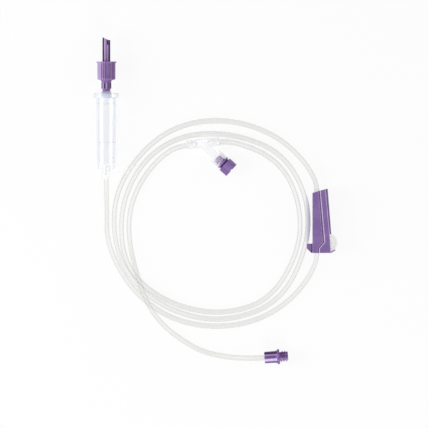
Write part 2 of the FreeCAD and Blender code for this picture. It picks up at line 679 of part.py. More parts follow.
def clamp_housing():
    """Moulded channel whose raised rails guide the roller's trunnions."""
    body_depth = size["clamp_depth"] - size["rail_height"] * 2.0
    inner = body_depth - size["clamp_side_wall"] * 2.0
    top = size["clamp_front_length"]
    shoulder = size["clamp_back_length"] + size["clamp_top_rise"]
    widest = size["clamp_step_width"] + size["clamp_step"]
    foot = size["clamp_step_width"] + size["clamp_foot_flare"]
    body = new_body("clamp_housing")
    side = outline(body, "side_outline", [
        (0.0, 0.0),
        (foot, 0.0),
        (size["clamp_step_width"], size["clamp_wide_at"]),
        (widest, size["clamp_wide_at"]),
        (size["clamp_top_width"], top),
        (size["rail_top_left"], shoulder),
        (0.0, size["clamp_back_length"]),
    ])
    padded(body, "side", side, body_depth)
    rail_groove(body, shoulder, body_depth)
    rail = outline(body, "rail_outline", [
        (size["rail_foot_left"], 0.0),
        (foot, 0.0),
        (size["clamp_step_width"], size["clamp_wide_at"]),
        (size["rail_top_right"], top - size["rail_top_drop"]),
        (size["rail_top_left"], shoulder),
        (size["rail_knee_left"], size["rail_knee_height"]),
        (size["rail_foot_left"], size["rail_foot_height"]),
    ])
    padded(body, "rail", rail, size["clamp_depth"])
    chamfered(body, "rail_edge", size["rail_chamfer"], long_edge_at(size["clamp_depth"] * 0.5))
    front = widest + size["overcut"]
    channel = outline(body, "channel_outline", [
        (size["clamp_back_wall"], -size["overcut"]),
        (size["web_start"], -size["overcut"]),
        (size["web_start"], size["web_thick"]),
        (front, size["web_thick"]),
        (front, top - size["top_web_thick"]),
        (size["web_start"], top - size["top_web_thick"]),
        (size["web_start"], top + size["overcut"]),
        (size["clamp_back_wall"], top + size["overcut"]),
    ])
    cut_out(body, "channel", channel, inner)
    lip_top = size["lip_rise"] + size["lip_thick"]
    lip_end = foot + size["lip_length"]
    lip = outline(body, "lip_outline", [
        (size["clamp_step_width"], 0.0),
        (foot, 0.0),
        (lip_end, size["lip_rise"]),
        (lip_end - size["lip_slant"], lip_top),
        (foot, size["web_thick"]),
        (size["clamp_step_width"], size["web_thick"]),
    ])
    padded(body, "lip", lip, body_depth)
    trunnion_track(body)
    tube_hook(body)
    set_place(body, size["clamp_x"], size["clamp_y"], size["clamp_depth"] * 0.5)
    return body


def rail_groove(body, shoulder, body_depth):
    """Sink the side walls along the place where the back edge of each rail will stand."""
    width = size["rail_groove_width"]
    over = size["overcut"]
    floor = body_depth * 0.5 - size["rail_groove_depth"]
    corners = [
        (size["rail_foot_left"] - width, -over),
        (size["rail_foot_left"], -over),
        (size["rail_foot_left"], size["rail_foot_height"]),
        (size["rail_knee_left"], size["rail_knee_height"]),
        (size["rail_top_left"], shoulder + over),
        (size["rail_top_left"] - width, shoulder + over),
        (size["rail_knee_left"] - width, size["rail_knee_height"]),
        (size["rail_foot_left"] - width, size["rail_foot_height"]),
    ]
    for name, height, backwards in (("near", floor, True), ("far", -floor, False)):
        groove = outline(body, name + "_groove_outline", corners)
        groove.AttachmentOffset = Placement(Vector(0, 0, number(height)), Rotation())
        groove.setExpression("AttachmentOffset.Base.z", height.text)
        cut_out(body, name + "_groove", groove, over, "One side", backwards)


def trunnion_track(body):
    """Cut the slanting grooves that the roller's trunnions run in."""
    groove = size["trunnion_radius"] + size["fit_gap"]
    lean = size["roller_closing"] / size["roller_travel"]
    rest_x = size["roller_rest_x"]
    rest_y = size["roller_rest_y"]
    low = -groove - size["track_end_gap"]
    far = size["roller_travel"] + groove + size["track_end_gap"]
    track = outline(body, "track_outline", [
        (rest_x - lean * low - groove, rest_y + low),
        (rest_x - lean * low + groove, rest_y + low),
        (rest_x - lean * far + groove, rest_y + far),
        (rest_x - lean * far - groove, rest_y + far),
    ])
    cut_out(body, "track", track, size["clamp_depth"] - size["track_skin"] * 2.0)


def tube_hook(body):
    """Add the hook behind the clamp that parks a loop of tube."""
    root = size["clamp_back_wall"] * 0.5
    hook = outline(body, "hook_outline", [
        (root, 0.0),
        (-size["hook_slot"], 0.0),
        (-size["hook_reach"], size["hook_reach"] - size["hook_slot"]),
        (-size["hook_reach"], size["hook_height"] - size["hook_corner"]),
        (size["hook_corner"] - size["hook_reach"], size["hook_height"]),
        (-size["hook_slot"], size["hook_height"]),
        (-size["hook_slot"], size["hook_foot"]),
        (root, size["hook_foot"]),
    ])
    padded(body, "hook", hook, size["hook_width"])
    web = outline(body, "hook_web_outline", [
        (root, 0.0),
        (-size["hook_slot"], 0.0),
        (-size["hook_slot"], size["hook_height"]),
        (root, size["hook_height"]),
    ])
    padded(body, "hook_web", web, size["hook_web"])


def clamp_roller():
    """Toothed wheel with dished faces, moulded with its two trunnions."""
    body_depth = size["clamp_depth"] - size["rail_height"] * 2.0
    inner = body_depth - size["clamp_side_wall"] * 2.0
    half = inner * 0.5 - size["roller_side_gap"]
    reach = size["clamp_depth"] * 0.5 - size["track_skin"] - size["trunnion_end_gap"]
    rim = size["roller_radius"] - size["roller_rim"]
    dish = half - size["roller_dish"]
    body = new_body("clamp_roller")
    turned(body, "wheel", [
        (0.0, -reach),
        (size["trunnion_radius"], -reach),
        (size["trunnion_radius"], -half),
        (size["roller_boss_radius"], -half),
        (size["roller_boss_radius"], -dish),
        (rim, -dish),
        (rim, -half),
        (size["roller_radius"], -half),
        (size["roller_radius"], half),
        (rim, half),
        (rim, dish),
        (size["roller_boss_radius"], dish),
        (size["roller_boss_radius"], half),
        (size["trunnion_radius"], half),
        (size["trunnion_radius"], reach),
        (0.0, reach),
    ])
    flutes(body, "tooth", size["roller_radius"], size["roller_notch_radius"],
           size["roller_notch_depth"], -half, half, 0, size["roller_teeth"], 360)
    set_place(body, size["clamp_x"] + size["roller_rest_x"],
              size["clamp_y"] + size["roller_rest_y"], size["clamp_depth"] * 0.5,
              Rotation(Vector(1, 0, 0), 90))
    return body


# Side port


def port_direction():
    """Return the branch's direction in the set's frame, in degrees from +X."""
    return number(size["port_tilt"]) - number(size["branch_angle"])


def rod(name, radius, start, end, angle):
    """Return a cylinder from start to end along a direction in the floor's plane."""
    solid = doc.addObject("Part::Cylinder", name)
    bind(solid, "Radius", radius)
    bind(solid, "Height", end - start)
    turn = math.radians(angle)
    lie = Rotation(Vector(0, 0, 1), Vector(math.cos(turn), math.sin(turn), 0))
    solid.Placement = Placement(Vector(0, 0, 0), lie)
    if isinstance(start, Size):
        for axis, share in (("x", math.cos(turn)), ("y", math.sin(turn))):
            solid.setExpression("Placement.Base." + axis, (start * share).text)
    return solid


def joined(name, kind, solids):
    """Fuse solids, or cut the second from the first."""
    result = doc.addObject(kind, name)
    if kind == "Part::MultiFuse":
        result.Shapes = solids
    else:
        result.Base, result.Tool = solids
    return result


def y_connector():
    """Clear side port: tube sockets in the run, a slanted branch and a threaded cup."""
    tube = size["tube_diameter"] * 0.5 + size["fit_gap"]
    branch = -number(size["branch_angle"])
    near = size["branch_length"]
    mouth = near + size["port_collar_length"]
    cup_floor = near + size["port_collar_floor"]
    cup_radius = size["port_collar_radius"] - size["port_collar_wall"]
    over = size["overcut"]
    outside = joined("port_outside", "Part::MultiFuse", [
        rod("run", size["run_radius"], -size["run_left"], size["run_right"], 0),
        rod("branch", size["branch_radius"], 0.0, near + over, branch),
        rod("port_collar", size["port_collar_radius"], near, mouth, branch),
    ])
    cup = joined("port_cup", "Part::Cut", [
        rod("cup_round", cup_radius, cup_floor, mouth + over, branch),
        rod("post", size["port_post_radius"], cup_floor - over,
            mouth - size["port_post_short"], branch),
    ])
    left_seat = size["run_socket_left"] - size["run_left"]
    right_seat = size["run_right"] - size["run_socket_right"]
    inside = joined("port_inside", "Part::MultiFuse", [
        rod("run_lumen", size["lumen_radius"], left_seat - over, right_seat + over, 0),
        rod("left_socket", tube, -size["run_left"] - over, left_seat, 0),
        rod("right_socket", tube, right_seat, size["run_right"] + over, 0),
        rod("branch_lumen", size["port_post_bore"], 0.0, mouth + over, branch),
        cup,
    ])
    port = joined("y_connector", "Part::Cut", [outside, inside])
    port.Label = "y_connector"
    pieces.append(port)
    set_place(port, size["port_x"], size["port_y"], size["cap_grip_radius"],
              Rotation(Vector(0, 0, 1), number(size["port_tilt"])))
    return port


def port_cap():
    """Screw cap: threaded plug, thin flange, neck and ribbed grip."""
    grip_low = size["cap_flange_thick"] + size["cap_neck_length"]
    grip_high = grip_low + size["cap_grip_length"]
    plug = size["cap_gap"] + size["cap_plug_length"]
    bore = size["port_post_radius"] + size["cap_post_gap"]
    flange = size["port_collar_radius"] + size["cap_flange_lap"]
    body = new_body("port_cap")
    turned(body, "cap", [
        (bore, -plug),
        (size["cap_plug_radius"], -plug),
        (size["cap_plug_radius"], 0.0),
        (flange, 0.0),
        (flange, size["cap_flange_thick"]),
        (size["cap_neck_radius"], size["cap_flange_thick"]),
        (size["cap_neck_radius"], grip_low),
        (size["cap_grip_radius"], grip_low),
        (size["cap_grip_radius"], grip_high),
        (0.0, grip_high),
        (0.0, size["cap_bore_end"]),
        (bore, size["cap_bore_end"]),
    ])
    rounded(body, "grip_end", size["cap_grip_round"],
            ring_at(size["cap_grip_radius"], grip_high))
    span = size["cap_rib_pitch"] * (size["cap_rib_grooves"] - 1.0)
    for face in CAP_GRIP_FACES:
        first = face - number(span) / 2
        flutes(body, "cap_ribs_" + str(face), size["cap_grip_radius"],
               size["cap_rib_radius"], size["cap_rib_depth"], grip_low,
               grip_high - size["cap_grip_round"], first, size["cap_rib_grooves"], span)
    over = size["overcut"]
    notch = outline(body, "notch_outline", [
        (-size["cap_notch_width"] * 0.5, grip_high - size["cap_notch_depth"]),
        (size["cap_notch_width"] * 0.5, grip_high - size["cap_notch_depth"]),
        (size["cap_notch_width"] * 0.5, grip_high + over),
        (-size["cap_notch_width"] * 0.5, grip_high + over),
    ])
    cut_out(body, "notch", notch, size["cap_grip_radius"] * 2.0 + over)
    screw_thread(body, "cap_thread", size["cap_plug_radius"],
                 size["cap_plug_radius"] + size["cap_thread_height"],
                 size["cap_thread_ends"] - plug, -size["cap_thread_ends"],
                 size["thread_pitch"])
    turn = math.radians(port_direction())
    along = size["branch_length"] + size["port_collar_length"] + size["cap_gap"]
    set_place(body, size["port_x"] + along * math.cos(turn),
              size["port_y"] + along * math.sin(turn), size["cap_grip_radius"],
              Rotation(Vector(0, 0, 1), port_direction() - 90))
    return body


# End connector


def end_connector():
    """Patient-end connector with a rear tube socket, a flange and a threaded nose."""
    tube = size["tube_diameter"] * 0.5 + size["fit_gap"]
    flange_back = size["end_body_length"]
    nose_low = flange_back + size["end_flange_thick"]
    nose_high = nose_low + size["end_nose_length"]
    body = new_body("end_connector")
    turned(body, "moulding", [
        (tube, 0.0),
        (size["end_rear_radius"], 0.0),
        (size["end_body_radius"], flange_back - size["end_flare_length"]),
        (size["end_flare_radius"], flange_back),
        (size["end_flange_radius"], flange_back),
        (size["end_flange_radius"], nose_low),
        (size["end_root_radius"], nose_low),
        (size["end_root_radius"], nose_high),
        (size["end_socket_radius"], nose_high),
        (size["end_socket_radius"], nose_high - size["end_socket_depth"]),
        (size["lumen_radius"], nose_high - size["end_socket_depth"]),
        (size["lumen_radius"], size["end_tube_socket"]),
        (tube, size["end_tube_socket"]),
    ])
    rounded(body, "rear_edge", size["end_rear_round"], ring_at(size["end_rear_radius"], 0.0))
    for name, height in (("flange_back_edge", flange_back), ("flange_front_edge", nose_low)):
        rounded(body, name, size["end_flange_round"],
                ring_at(size["end_flange_radius"], height))
    screw_thread(body, "end_thread", size["end_root_radius"],
                 size["end_root_radius"] + size["end_thread_height"],
                 nose_low + size["end_thread_start"], nose_high, size["thread_pitch"])
    set_place(body, size["end_x"], size["end_y"], size["end_flange_radius"],
              Rotation(Vector(0, 0, 1), number(size["end_tilt"]) - 90))
    return body


# Feeding tube


def tube_path(points):
    """Join straight runs by tangent arcs and return the wire, its length and its radii."""
    edges = []
    radii = []
    start = points[0]
    for before, corner, after in zip(points, points[1:], points[2:]):
        back = before - corner
        ahead = after - corner
        turn = math.pi - back.getAngle(ahead)
        trim = BEND_SHARE * min(back.Length, ahead.Length)
        radius = trim / math.tan(turn / 2)
        first = corner + back.normalize() * trim
        last = corner + ahead.normalize() * trim
        half_way = (first + last) * 0.5
        inward = (half_way - corner).normalize()
        middle = corner + inward * (radius / math.cos(turn / 2) - radius)
        edges.append(Part.LineSegment(start, first).toShape())
        edges.append(Part.Arc(first, middle, last).toShape())
        radii.append(radius)
        start = last
    edges.append(Part.LineSegment(start, points[-1]).toShape())
    wire = Part.Wire(edges)
    return wire, wire.Length, radii


def tube(label, route):
    """Make one stretch of plain tube along a route and compare its volume."""
    points = [Vector(*place) for place in route]
    radius = number(size["tube_diameter"]) / 2
    if len(points) > 2:
        wire, length, radii = tube_path(points)
    else:
        wire = Part.Wire([Part.LineSegment(*points).toShape()])
        length = wire.Length
        radii = []
    ahead = points[1] - points[0]
    section = Part.Wire([Part.Circle(points[0], ahead, radius).toShape()])
    solid = wire.makePipeShell([section], True, True, 1)
    expected = math.pi * radius ** 2 * length
    if abs(solid.Volume / expected - 1) > 0.01:
        raise RuntimeError(label + " has the wrong volume")
    piece = doc.addObject("Part::Feature", label)
    piece.Label = label
    piece.Shape = solid
    piece.Placement = Placement()
    pieces.append(piece)
    tightest = min(radii) if radii else 0
    print(label, "length", round(length, 1), "tightest radius", round(tightest, 1))
    print(label, "radii", [round(value) for value in radii])
    return piece


def chamber_end():
    """Return the tube's first points, from the chamber's floor straight out of the sleeve."""
    x = number(size["chamber_x"])
    z = number(size["flange_radius"])
    foot = number(size["chamber_y"] - size["barrel_length"])
    below = number(size["sleeve_length"] + size["sleeve_straight"])
    return [(x, foot + number(size["socket_depth"]), z), (x, foot - below, z)]


def clamp_end(inside, outside):
    """Return two points on the clamp's tube line, at heights over its lower end."""
    across = size["clamp_back_wall"] + size["tube_back_gap"] + size["tube_diameter"] * 0.5
    x = number(size["clamp_x"] + across)
    y = number(size["clamp_y"])
    z = number(size["clamp_depth"]) / 2
    return [(x, y + number(inside), z), (x, y + number(outside), z)]


def port_end(inside, outside):
    """Return two points on the side port's run, at distances from its branch."""
    turn = math.radians(number(size["port_tilt"]))
    ends = []
    for along in (number(inside), number(outside)):
        ends.append((number(size["port_x"]) + along * math.cos(turn),
                     number(size["port_y"]) + along * math.sin(turn),
                     number(size["cap_grip_radius"])))
    return ends


def connector_end():
    """Return the tube's last points, behind the end connector and in its socket."""
    turn = math.radians(number(size["end_tilt"]))
    ends = []
    for along in (-number(size["end_straight"]), number(size["end_tube_socket"])):
        ends.append((number(size["end_x"]) + along * math.cos(turn),
                     number(size["end_y"]) + along * math.sin(turn),
                     number(size["end_flange_radius"])))
    return ends


def feeding_tube():
    """Lay the tube from the chamber through the clamp and the side port to its end."""
    inset = size["tube_in_clamp"]
    clamp_low = clamp_end(inset, inset - size["clamp_straight"])
    top = size["clamp_back_length"] - size["tube_above_stop"]
    clamp_high = clamp_end(top, top + size["clamp_straight"])
    port_right = port_end(size["run_right"] - size["run_socket_right"],
                          size["run_right"] + size["port_straight"])
    port_left = port_end(size["run_socket_left"] - size["run_left"],
                         -size["run_left"] - size["port_straight"])
    tube("feed_tube_upper", chamber_end() + UPPER_ROUTE + clamp_low[::-1])
    tube("clamped_tube", [clamp_low[0], clamp_high[0]])
    tube("feed_tube_lower", clamp_high + LOWER_ROUTE + port_right[::-1])
    tube("patient_tube", port_left + PATIENT_ROUTE + connector_end())


# Checking and writing


def check(document):
    """Stop where an object has failed or a piece isn't a sound solid."""
    for item in document.Objects:
        if "Invalid" in item.State or "Error" in item.State:
            raise RuntimeError(item.Label + " failed: " + str(item.State))
    for piece in pieces:
        if piece.Shape.isNull() or not piece.Shape.isValid():
            raise RuntimeError(piece.Label + " has no sound shape")


def write(folder):
    """Write each piece to its own file."""
    os.makedirs(folder, exist_ok=True)
    for piece in pieces:
        piece.Shape.exportStep(os.path.join(folder, piece.Label + ".step"))
        box = piece.Shape.BoundBox
        print(piece.Label, "solids", len(piece.Shape.Solids),
              "volume", round(piece.Shape.Volume, 1),
              "box", [round(v, 2) for v in (box.XMin, box.YMin, box.ZMin, box.XMax,
                                            box.YMax, box.ZMax)])


def main():
    """Build every piece, check it and write it."""
    spike_connector()
    chamber_cap()
    drip_chamber()
    outlet_sleeve()
    clamp_housing()
    clamp_roller()
    y_connector()
    port_cap()
    end_connector()
    feeding_tube()
    doc.recompute()
    check(doc)
    write("parts")


main()
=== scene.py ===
"""Looks of a gravity feeding set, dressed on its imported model.

Lengths are metres in the part's own frame: +Z is up from the table that the set lies on, and +Y
runs along the drip chamber towards the tip of the bag spike.
"""

import logging
import math
from dataclasses import dataclass, field
from enum import Enum

import bpy
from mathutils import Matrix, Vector


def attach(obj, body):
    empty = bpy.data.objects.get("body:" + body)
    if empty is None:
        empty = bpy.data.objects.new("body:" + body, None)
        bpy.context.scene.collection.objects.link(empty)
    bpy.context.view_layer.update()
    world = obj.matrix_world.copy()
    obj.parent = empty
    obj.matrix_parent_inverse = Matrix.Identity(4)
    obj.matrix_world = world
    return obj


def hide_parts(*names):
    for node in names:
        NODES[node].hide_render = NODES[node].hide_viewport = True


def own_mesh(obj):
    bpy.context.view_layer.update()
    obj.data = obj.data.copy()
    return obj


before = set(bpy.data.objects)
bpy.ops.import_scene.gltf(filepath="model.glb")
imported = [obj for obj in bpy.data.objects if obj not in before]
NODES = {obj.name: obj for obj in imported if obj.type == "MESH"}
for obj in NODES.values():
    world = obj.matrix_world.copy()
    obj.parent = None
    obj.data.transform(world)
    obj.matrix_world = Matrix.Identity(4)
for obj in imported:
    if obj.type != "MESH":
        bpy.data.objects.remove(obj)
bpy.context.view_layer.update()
LOG = logging.getLogger("feeding_set")

Colour = tuple[float, float, float]
Point = tuple[float, float, float]
Profile = tuple[tuple[float, float], ...]

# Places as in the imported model; the first is the middle line of a tube that lies on the table.
FLOOR_LINE = 0.0021
CHAMBER_X = -0.0816
CLAMP_TUBE_X = 0.0762
CLAMP_TUBE_Z = 0.00625
PORT = (-0.01035, 0.0431, 0.0058)
PORT_TURN = math.radians(5.94)
TAIL = (0.0368, -0.1176, 0.0057)
TAIL_TURN = math.radians(4.2)
BRANCH_TURN = math.radians(-42.0)

# Heights along the chamber's axis where a ring shows in its wall
FOOT_RING = 0.0237
FLOOR_RING = 0.0287
STEP_RING = 0.0438
TOP_RING = 0.0726

# Grains to the metre of the finishes' noise
FLOW_GRAIN = 130.0
SKIN_GRAIN = 5200.0
GLOSS_GRAIN = 900.0
WALL_CLOUD_GRAIN = 240.0
WALL_GLOSS_GRAIN = 800.0
TUBE_CLOUD_GRAIN = 60.0
TABLE_GRAIN = 60.0

# The noise's values lie mostly between these two.
NOISE_LOW = 0.3
NOISE_HIGH = 0.7

# The rounded and the flat normal agree this far where an edge begins and where it is full.
EDGE_BEGINS = 0.995
EDGE_FULL = 0.8

# The product of a normal's level and upright shares is 0.25 on a face that slopes at 45 degrees.
SLANT_BEGINS = 0.15
SLANT_FULL = 0.24

WHITE = (1.0, 1.0, 1.0)


def screen(red: int, green: int, blue: int) -> Colour:
    """Turn a colour as a screen shows it into the values that light works with.

    Args:
        red: from 0 to 255.
        green: from 0 to 255.
        blue: from 0 to 255.

    Returns:
        The three values, from 0 to 1.
    """
    return tuple(
        value / 12.92 if value <= 0.04045 else ((value + 0.055) / 1.055) ** 2.4
        for value in (red / 255, green / 255, blue / 255)
    )


def along(start: Point, turn: float, distance: float) -> Point:
    """Return the point at a distance from start, in the direction turn on the table."""
    return (start[0] + distance * math.cos(turn), start[1] + distance * math.sin(turn), start[2])


@dataclass(frozen=True)
class Axis:
    """A line along the table that a moulding is round."""

    start: Point
    turn: float


CHAMBER_AXIS = Axis((CHAMBER_X, 0.0, 0.0), math.radians(90.0))
TAIL_AXIS = Axis(TAIL, TAIL_TURN)
BRANCH_AXIS = Axis(PORT, BRANCH_TURN)


class Recipe:
    """The node tree of one material, with short ways to add to it."""

    def __init__(self, name: str) -> None:
        """Start an empty material.

        Args:
            name: the material's name.
        """
        self.material = bpy.data.materials.new(name)
        self.material.use_nodes = True
        self.tree = self.material.node_tree
        self.tree.nodes.clear()
        self.output = self.tree.nodes.new("ShaderNodeOutputMaterial")

    def add(self, kind: str, inputs: dict | None = None, **settings: object) -> bpy.types.Node:
        """Add a node.

        Args:
            kind: the node's type, without the word ShaderNode.
            inputs: values or sockets for its inputs, by name or number.
            settings: the node's own settings.

        Returns:
            The node.
        """
        node = self.tree.nodes.new("ShaderNode" + kind)
        for key, value in settings.items():
            setattr(node, key, value)
        for key, value in (inputs or {}).items():
            if isinstance(value, bpy.types.NodeSocket):
                self.tree.links.new(value, node.inputs[key])
            elif isinstance(value, tuple) and len(value) == 3 and node.inputs[key].type == "RGBA":
                node.inputs[key].default_value = (*value, 1.0)
            else:
                node.inputs[key].default_value = value
        return node

    def place(self) -> bpy.types.NodeSocket:
        """Return the coordinates of a point on the piece, in metres."""
        return self.add("TexCoord").outputs["Object"]

    def noise(self, scale: float, detail: float = 2.0) -> bpy.types.NodeSocket:
        """Return soft noise from 0 to 1, with about scale grains to the metre."""
        inputs = {"Vector": self.place(), "Scale": scale, "Detail": detail}
        return self.add("TexNoise", inputs).outputs["Fac"]

    def spread(self, value: bpy.types.NodeSocket, low: float, high: float) -> bpy.types.NodeSocket:
        """Stretch the middle of a noise.

        Args:
            value: the noise.
            low: what its lower values become.
            high: what its higher values become.

        Returns:
            The stretched noise's socket, from low to high.
        """
        inputs = {"Value": value, "From Min": NOISE_LOW, "From Max": NOISE_HIGH, "To Min": low,
                  "To Max": high}
        return self.add("MapRange", inputs).outputs["Result"]

    def sum(self, operation: str, *values: object) -> bpy.types.NodeSocket:
        """Return the result of a sum on numbers or sockets."""
        inputs = dict(enumerate(values))
        return self.add("Math", inputs, operation=operation).outputs[0]

    def between(self, share: object, first: object, second: object) -> bpy.types.NodeSocket:
        """Mix two colours.

        Args:
            share: how much of the second one, from 0 to 1.
            first: a colour or its socket.
            second: a colour or its socket.

        Returns:
            The mixed colour's socket.
        """
        node = self.add("Mix", data_type="RGBA")
        for key, value in ((0, share), (6, first), (7, second)):
            if isinstance(value, bpy.types.NodeSocket):
                self.tree.links.new(value, node.inputs[key])
            elif key == 0:
                node.inputs[key].default_value = value
            else:
                node.inputs[key].default_value = (*value, 1.0)
        return node.outputs[2]

    def run(self, value: bpy.types.NodeSocket, places: Profile) -> bpy.types.NodeSocket:
        """Return a number that passes through the given places.

        Args:
            value: the socket that moves along the profile.
            places: pairs of value and level, in rising order.

        Returns:
            The level's socket; it stays level beyond either end.
        """
        low, high = places[0][0], places[-1][0]
        share = self.add("MapRange", {"Value": value, "From Min": low, "From Max": high}).outputs["Result"]
        ramp = self.add("ValToRGB", {0: share})
        elements = ramp.color_ramp.elements
        while len(elements) < len(places):
            elements.new(0.5)
        for element, (at, level) in zip(elements, places):
            element.position = (at - low) / (high - low)
            element.color = (level, level, level, 1.0)
        return ramp.outputs[0]

    def from_axis(self, axis: Axis) -> tuple[bpy.types.NodeSocket, bpy.types.NodeSocket]:
        """Measure where a point lies from an axis on the table.

        Args:
            axis: the line to measure from.

        Returns:
            How far the point lies along the axis, and how far to its left, in metres.
        """
        parts = self.add("SeparateXYZ", {0: self.place()})
        east = self.sum("SUBTRACT", parts.outputs[0], axis.start[0])
        north = self.sum("SUBTRACT", parts.outputs[1], axis.start[1])
        cosine, sine = math.cos(axis.turn), math.sin(axis.turn)
        ahead = self.sum("ADD", self.sum("MULTIPLY", east, cosine), self.sum("MULTIPLY", north, sine))
        left = self.sum("SUBTRACT", self.sum("MULTIPLY", north, cosine), self.sum("MULTIPLY", east, sine))
        return ahead, left

    def open_sky(self, reach: float, darkest: float, lightest: float) -> bpy.types.NodeSocket:
        """Tell open faces from hollows by the share of the sky that they see.

        Args:
            reach: how far off a wall still hides the sky.
            darkest: the share that counts as a full hollow.
            lightest: the share that counts as quite open.

        Returns:
            A socket that is 1 on open faces and 0 in full hollows.
        """
        found = self.add("AmbientOcclusion", {"Distance": reach}, samples=8, only_local=True)
        inputs = {"Value": found.outputs["AO"], "From Min": darkest, "From Max": lightest}
        return self.add("MapRange", inputs).outputs["Result"]

    def slant(self) -> bpy.types.NodeSocket:
        """Tell slanted faces from level and upright ones.

        Returns:
            A socket that is 1 on faces that slope at 45 degrees, and 0 on level and upright ones.
        """
        rise = self.add("SeparateXYZ", {0: self.add("TexCoord").outputs["Normal"]}).outputs[2]
        level = self.sum("POWER", rise, 2.0)
        both = self.sum("MULTIPLY", level, self.sum("SUBTRACT", 1.0, level))
        inputs = {"Value": both, "From Min": SLANT_BEGINS, "From Max": SLANT_FULL}
        return self.add("MapRange", inputs).outputs["Result"]

    def edge(self, width: float) -> bpy.types.NodeSocket:
        """Find the piece's edges.

        Args:
            width: how far from an edge it still shows.

        Returns:
            A socket that is 1 on the edges and fades to 0 at width from them.
        """
        round_normal = self.add("Bevel", {"Radius": width}, samples=8).outputs["Normal"]
        flat_normal = self.add("NewGeometry").outputs["Normal"]
        same = self.add("VectorMath", {0: round_normal, 1: flat_normal}, operation="DOT_PRODUCT")
        inputs = {"Value": same.outputs["Value"], "From Min": EDGE_BEGINS, "From Max": EDGE_FULL}
        return self.add("MapRange", inputs).outputs["Result"]

    def relief(self, height: bpy.types.NodeSocket, depth: float, round_edge: float) -> bpy.types.NodeSocket:
        """Return a normal with a fine relief and softly rounded edges.

        Args:
            height: the relief, from 0 to 1.
            depth: how deep the relief is.
            round_edge: the radius of the edges, or 0 for sharp ones.

        Returns:
            The normal's socket.
        """
        inputs = {"Height": height, "Distance": depth, "Strength": 1.0}
        if round_edge > 0:
            edge = self.add("Bevel", {"Radius": round_edge}, samples=6)
            inputs["Normal"] = edge.outputs["Normal"]
        return self.add("Bump", inputs).outputs["Normal"]

    def finish(self, shader: bpy.types.NodeSocket) -> bpy.types.Material:
        """Use shader for the surface and return the material."""
        self.tree.links.new(shader, self.output.inputs["Surface"])
        return self.material


@dataclass(frozen=True)
class Stripes:
    """Painted stripes of reflection and shade that run along part of a moulding.

    The levels run from 0, the deepest shade, over 0.5, the plain colour, to 1, the palest.
    """

    axis: Axis
    reach: tuple[float, float]
    across: Profile
    fade: float = 0.0003

    def tone(self, recipe: Recipe, tone: object) -> bpy.types.NodeSocket:
        """Lay the stripes over a tone, between the ends of their reach.

        Args:
            recipe: the material that they are added to.
            tone: the tone below them, a number or a socket.

        Returns:
            The new tone's socket.
        """
        ahead, left = recipe.from_axis(self.axis)
        low, high = self.reach
        begun = recipe.add("MapRange", {"Value": ahead, "From Min": low, "From Max": low + self.fade})
        ended = recipe.add("MapRange", {"Value": ahead, "From Min": high, "From Max": high - self.fade})
        inside = recipe.sum("MULTIPLY", begun.outputs["Result"], ended.outputs["Result"])
        mixed = recipe.add("Mix", data_type="FLOAT")
        recipe.tree.links.new(inside, mixed.inputs[0])
        if isinstance(tone, bpy.types.NodeSocket):
            recipe.tree.links.new(tone, mixed.inputs[2])
        else:
            mixed.inputs[2].default_value = tone
        recipe.tree.links.new(recipe.run(left, self.across), mixed.inputs[3])
        return mixed.outputs[0]


@dataclass(frozen=True)
class SolidPlastic:
    """Finish of an opaque moulding with painted highlights on its edges, painted shade in its hollows,
    painted stripes and a fine eroded skin.
    """

    name: str
    colour: Colour
    # deep and pale end the painted shade and the painted highlight; hollow is the painted shade in hollows
    deep: Colour
    pale: Colour
    hollow: Colour
    stripes: tuple[Stripes, ...] = ()
    roughness: float = 0.42
    round_edge: float = 0.00022
    edge_width: float = 0.00045
    # painted highlight on edges
    edge_highlight: float = 0.3
    skin_depth: float = 0.000004
    hollow_reach: float = 0.0016
    hollow_range: tuple[float, float] = (0.1, 0.6)
    # painted highlight on slanted faces
    slant_highlight: float = 0.0
    gloss: float = 0.4

    def tone(self, recipe: Recipe) -> bpy.types.NodeSocket:
        """Work out how deep or pale each place is painted: a random flow, painted stripes of reflection and
        shade, and painted highlights on edges and slanted faces.

        Args:
            recipe: the material that it is added to.

        Returns:
            The tone's socket, from 0, the deepest, to 1, the palest.
        """
        flow = recipe.spread(recipe.noise(FLOW_GRAIN, 3.0), -0.03, 0.03)
        tone = 0.5
        for stripe in self.stripes:
            tone = stripe.tone(recipe, tone)
        # Painted highlights: edges and slanted faces are paled
        painted_highlight = recipe.sum("MULTIPLY", recipe.edge(self.edge_width), self.edge_highlight)
        if self.slant_highlight > 0:
            painted_highlight = recipe.sum("MAXIMUM", painted_highlight, recipe.sum("MULTIPLY", recipe.slant(), self.slant_highlight))
        return recipe.sum("ADD", recipe.sum("ADD", flow, tone), painted_highlight)

    def material(self) -> bpy.types.Material:
        """Make the finish's material.

        Returns:
            The material.
        """
        recipe = Recipe(self.name)
        tone = self.tone(recipe)
        to_plain = recipe.add("MapRange", {"Value": tone, "From Max": 0.5}).outputs["Result"]
        to_pale = recipe.add("MapRange", {"Value": tone, "From Min": 0.5}).outputs["Result"]
        plain = recipe.between(to_plain, self.deep, self.colour)
        toned = recipe.between(to_pale, plain, self.pale)
        # Painted shade: hollows that see little sky take the hollow colour, slanted faces are kept out of
        # it
        sky = recipe.open_sky(self.hollow_reach, *self.hollow_range)
        if self.slant_highlight > 0:
            sky = recipe.sum("MAXIMUM", sky, recipe.slant())
        colour = recipe.between(sky, self.hollow, toned)
        skin = recipe.noise(SKIN_GRAIN)
        rough = recipe.spread(recipe.noise(GLOSS_GRAIN), self.roughness - 0.04, self.roughness + 0.05)
        shader = recipe.add("BsdfPrincipled", {
            "Base Color": colour,
            "Roughness": rough,
            "IOR": 1.49,
            "Specular IOR Level": self.gloss,
            "Normal": recipe.relief(skin, self.skin_depth, self.round_edge),
        })
        return recipe.finish(shader.outputs[0])


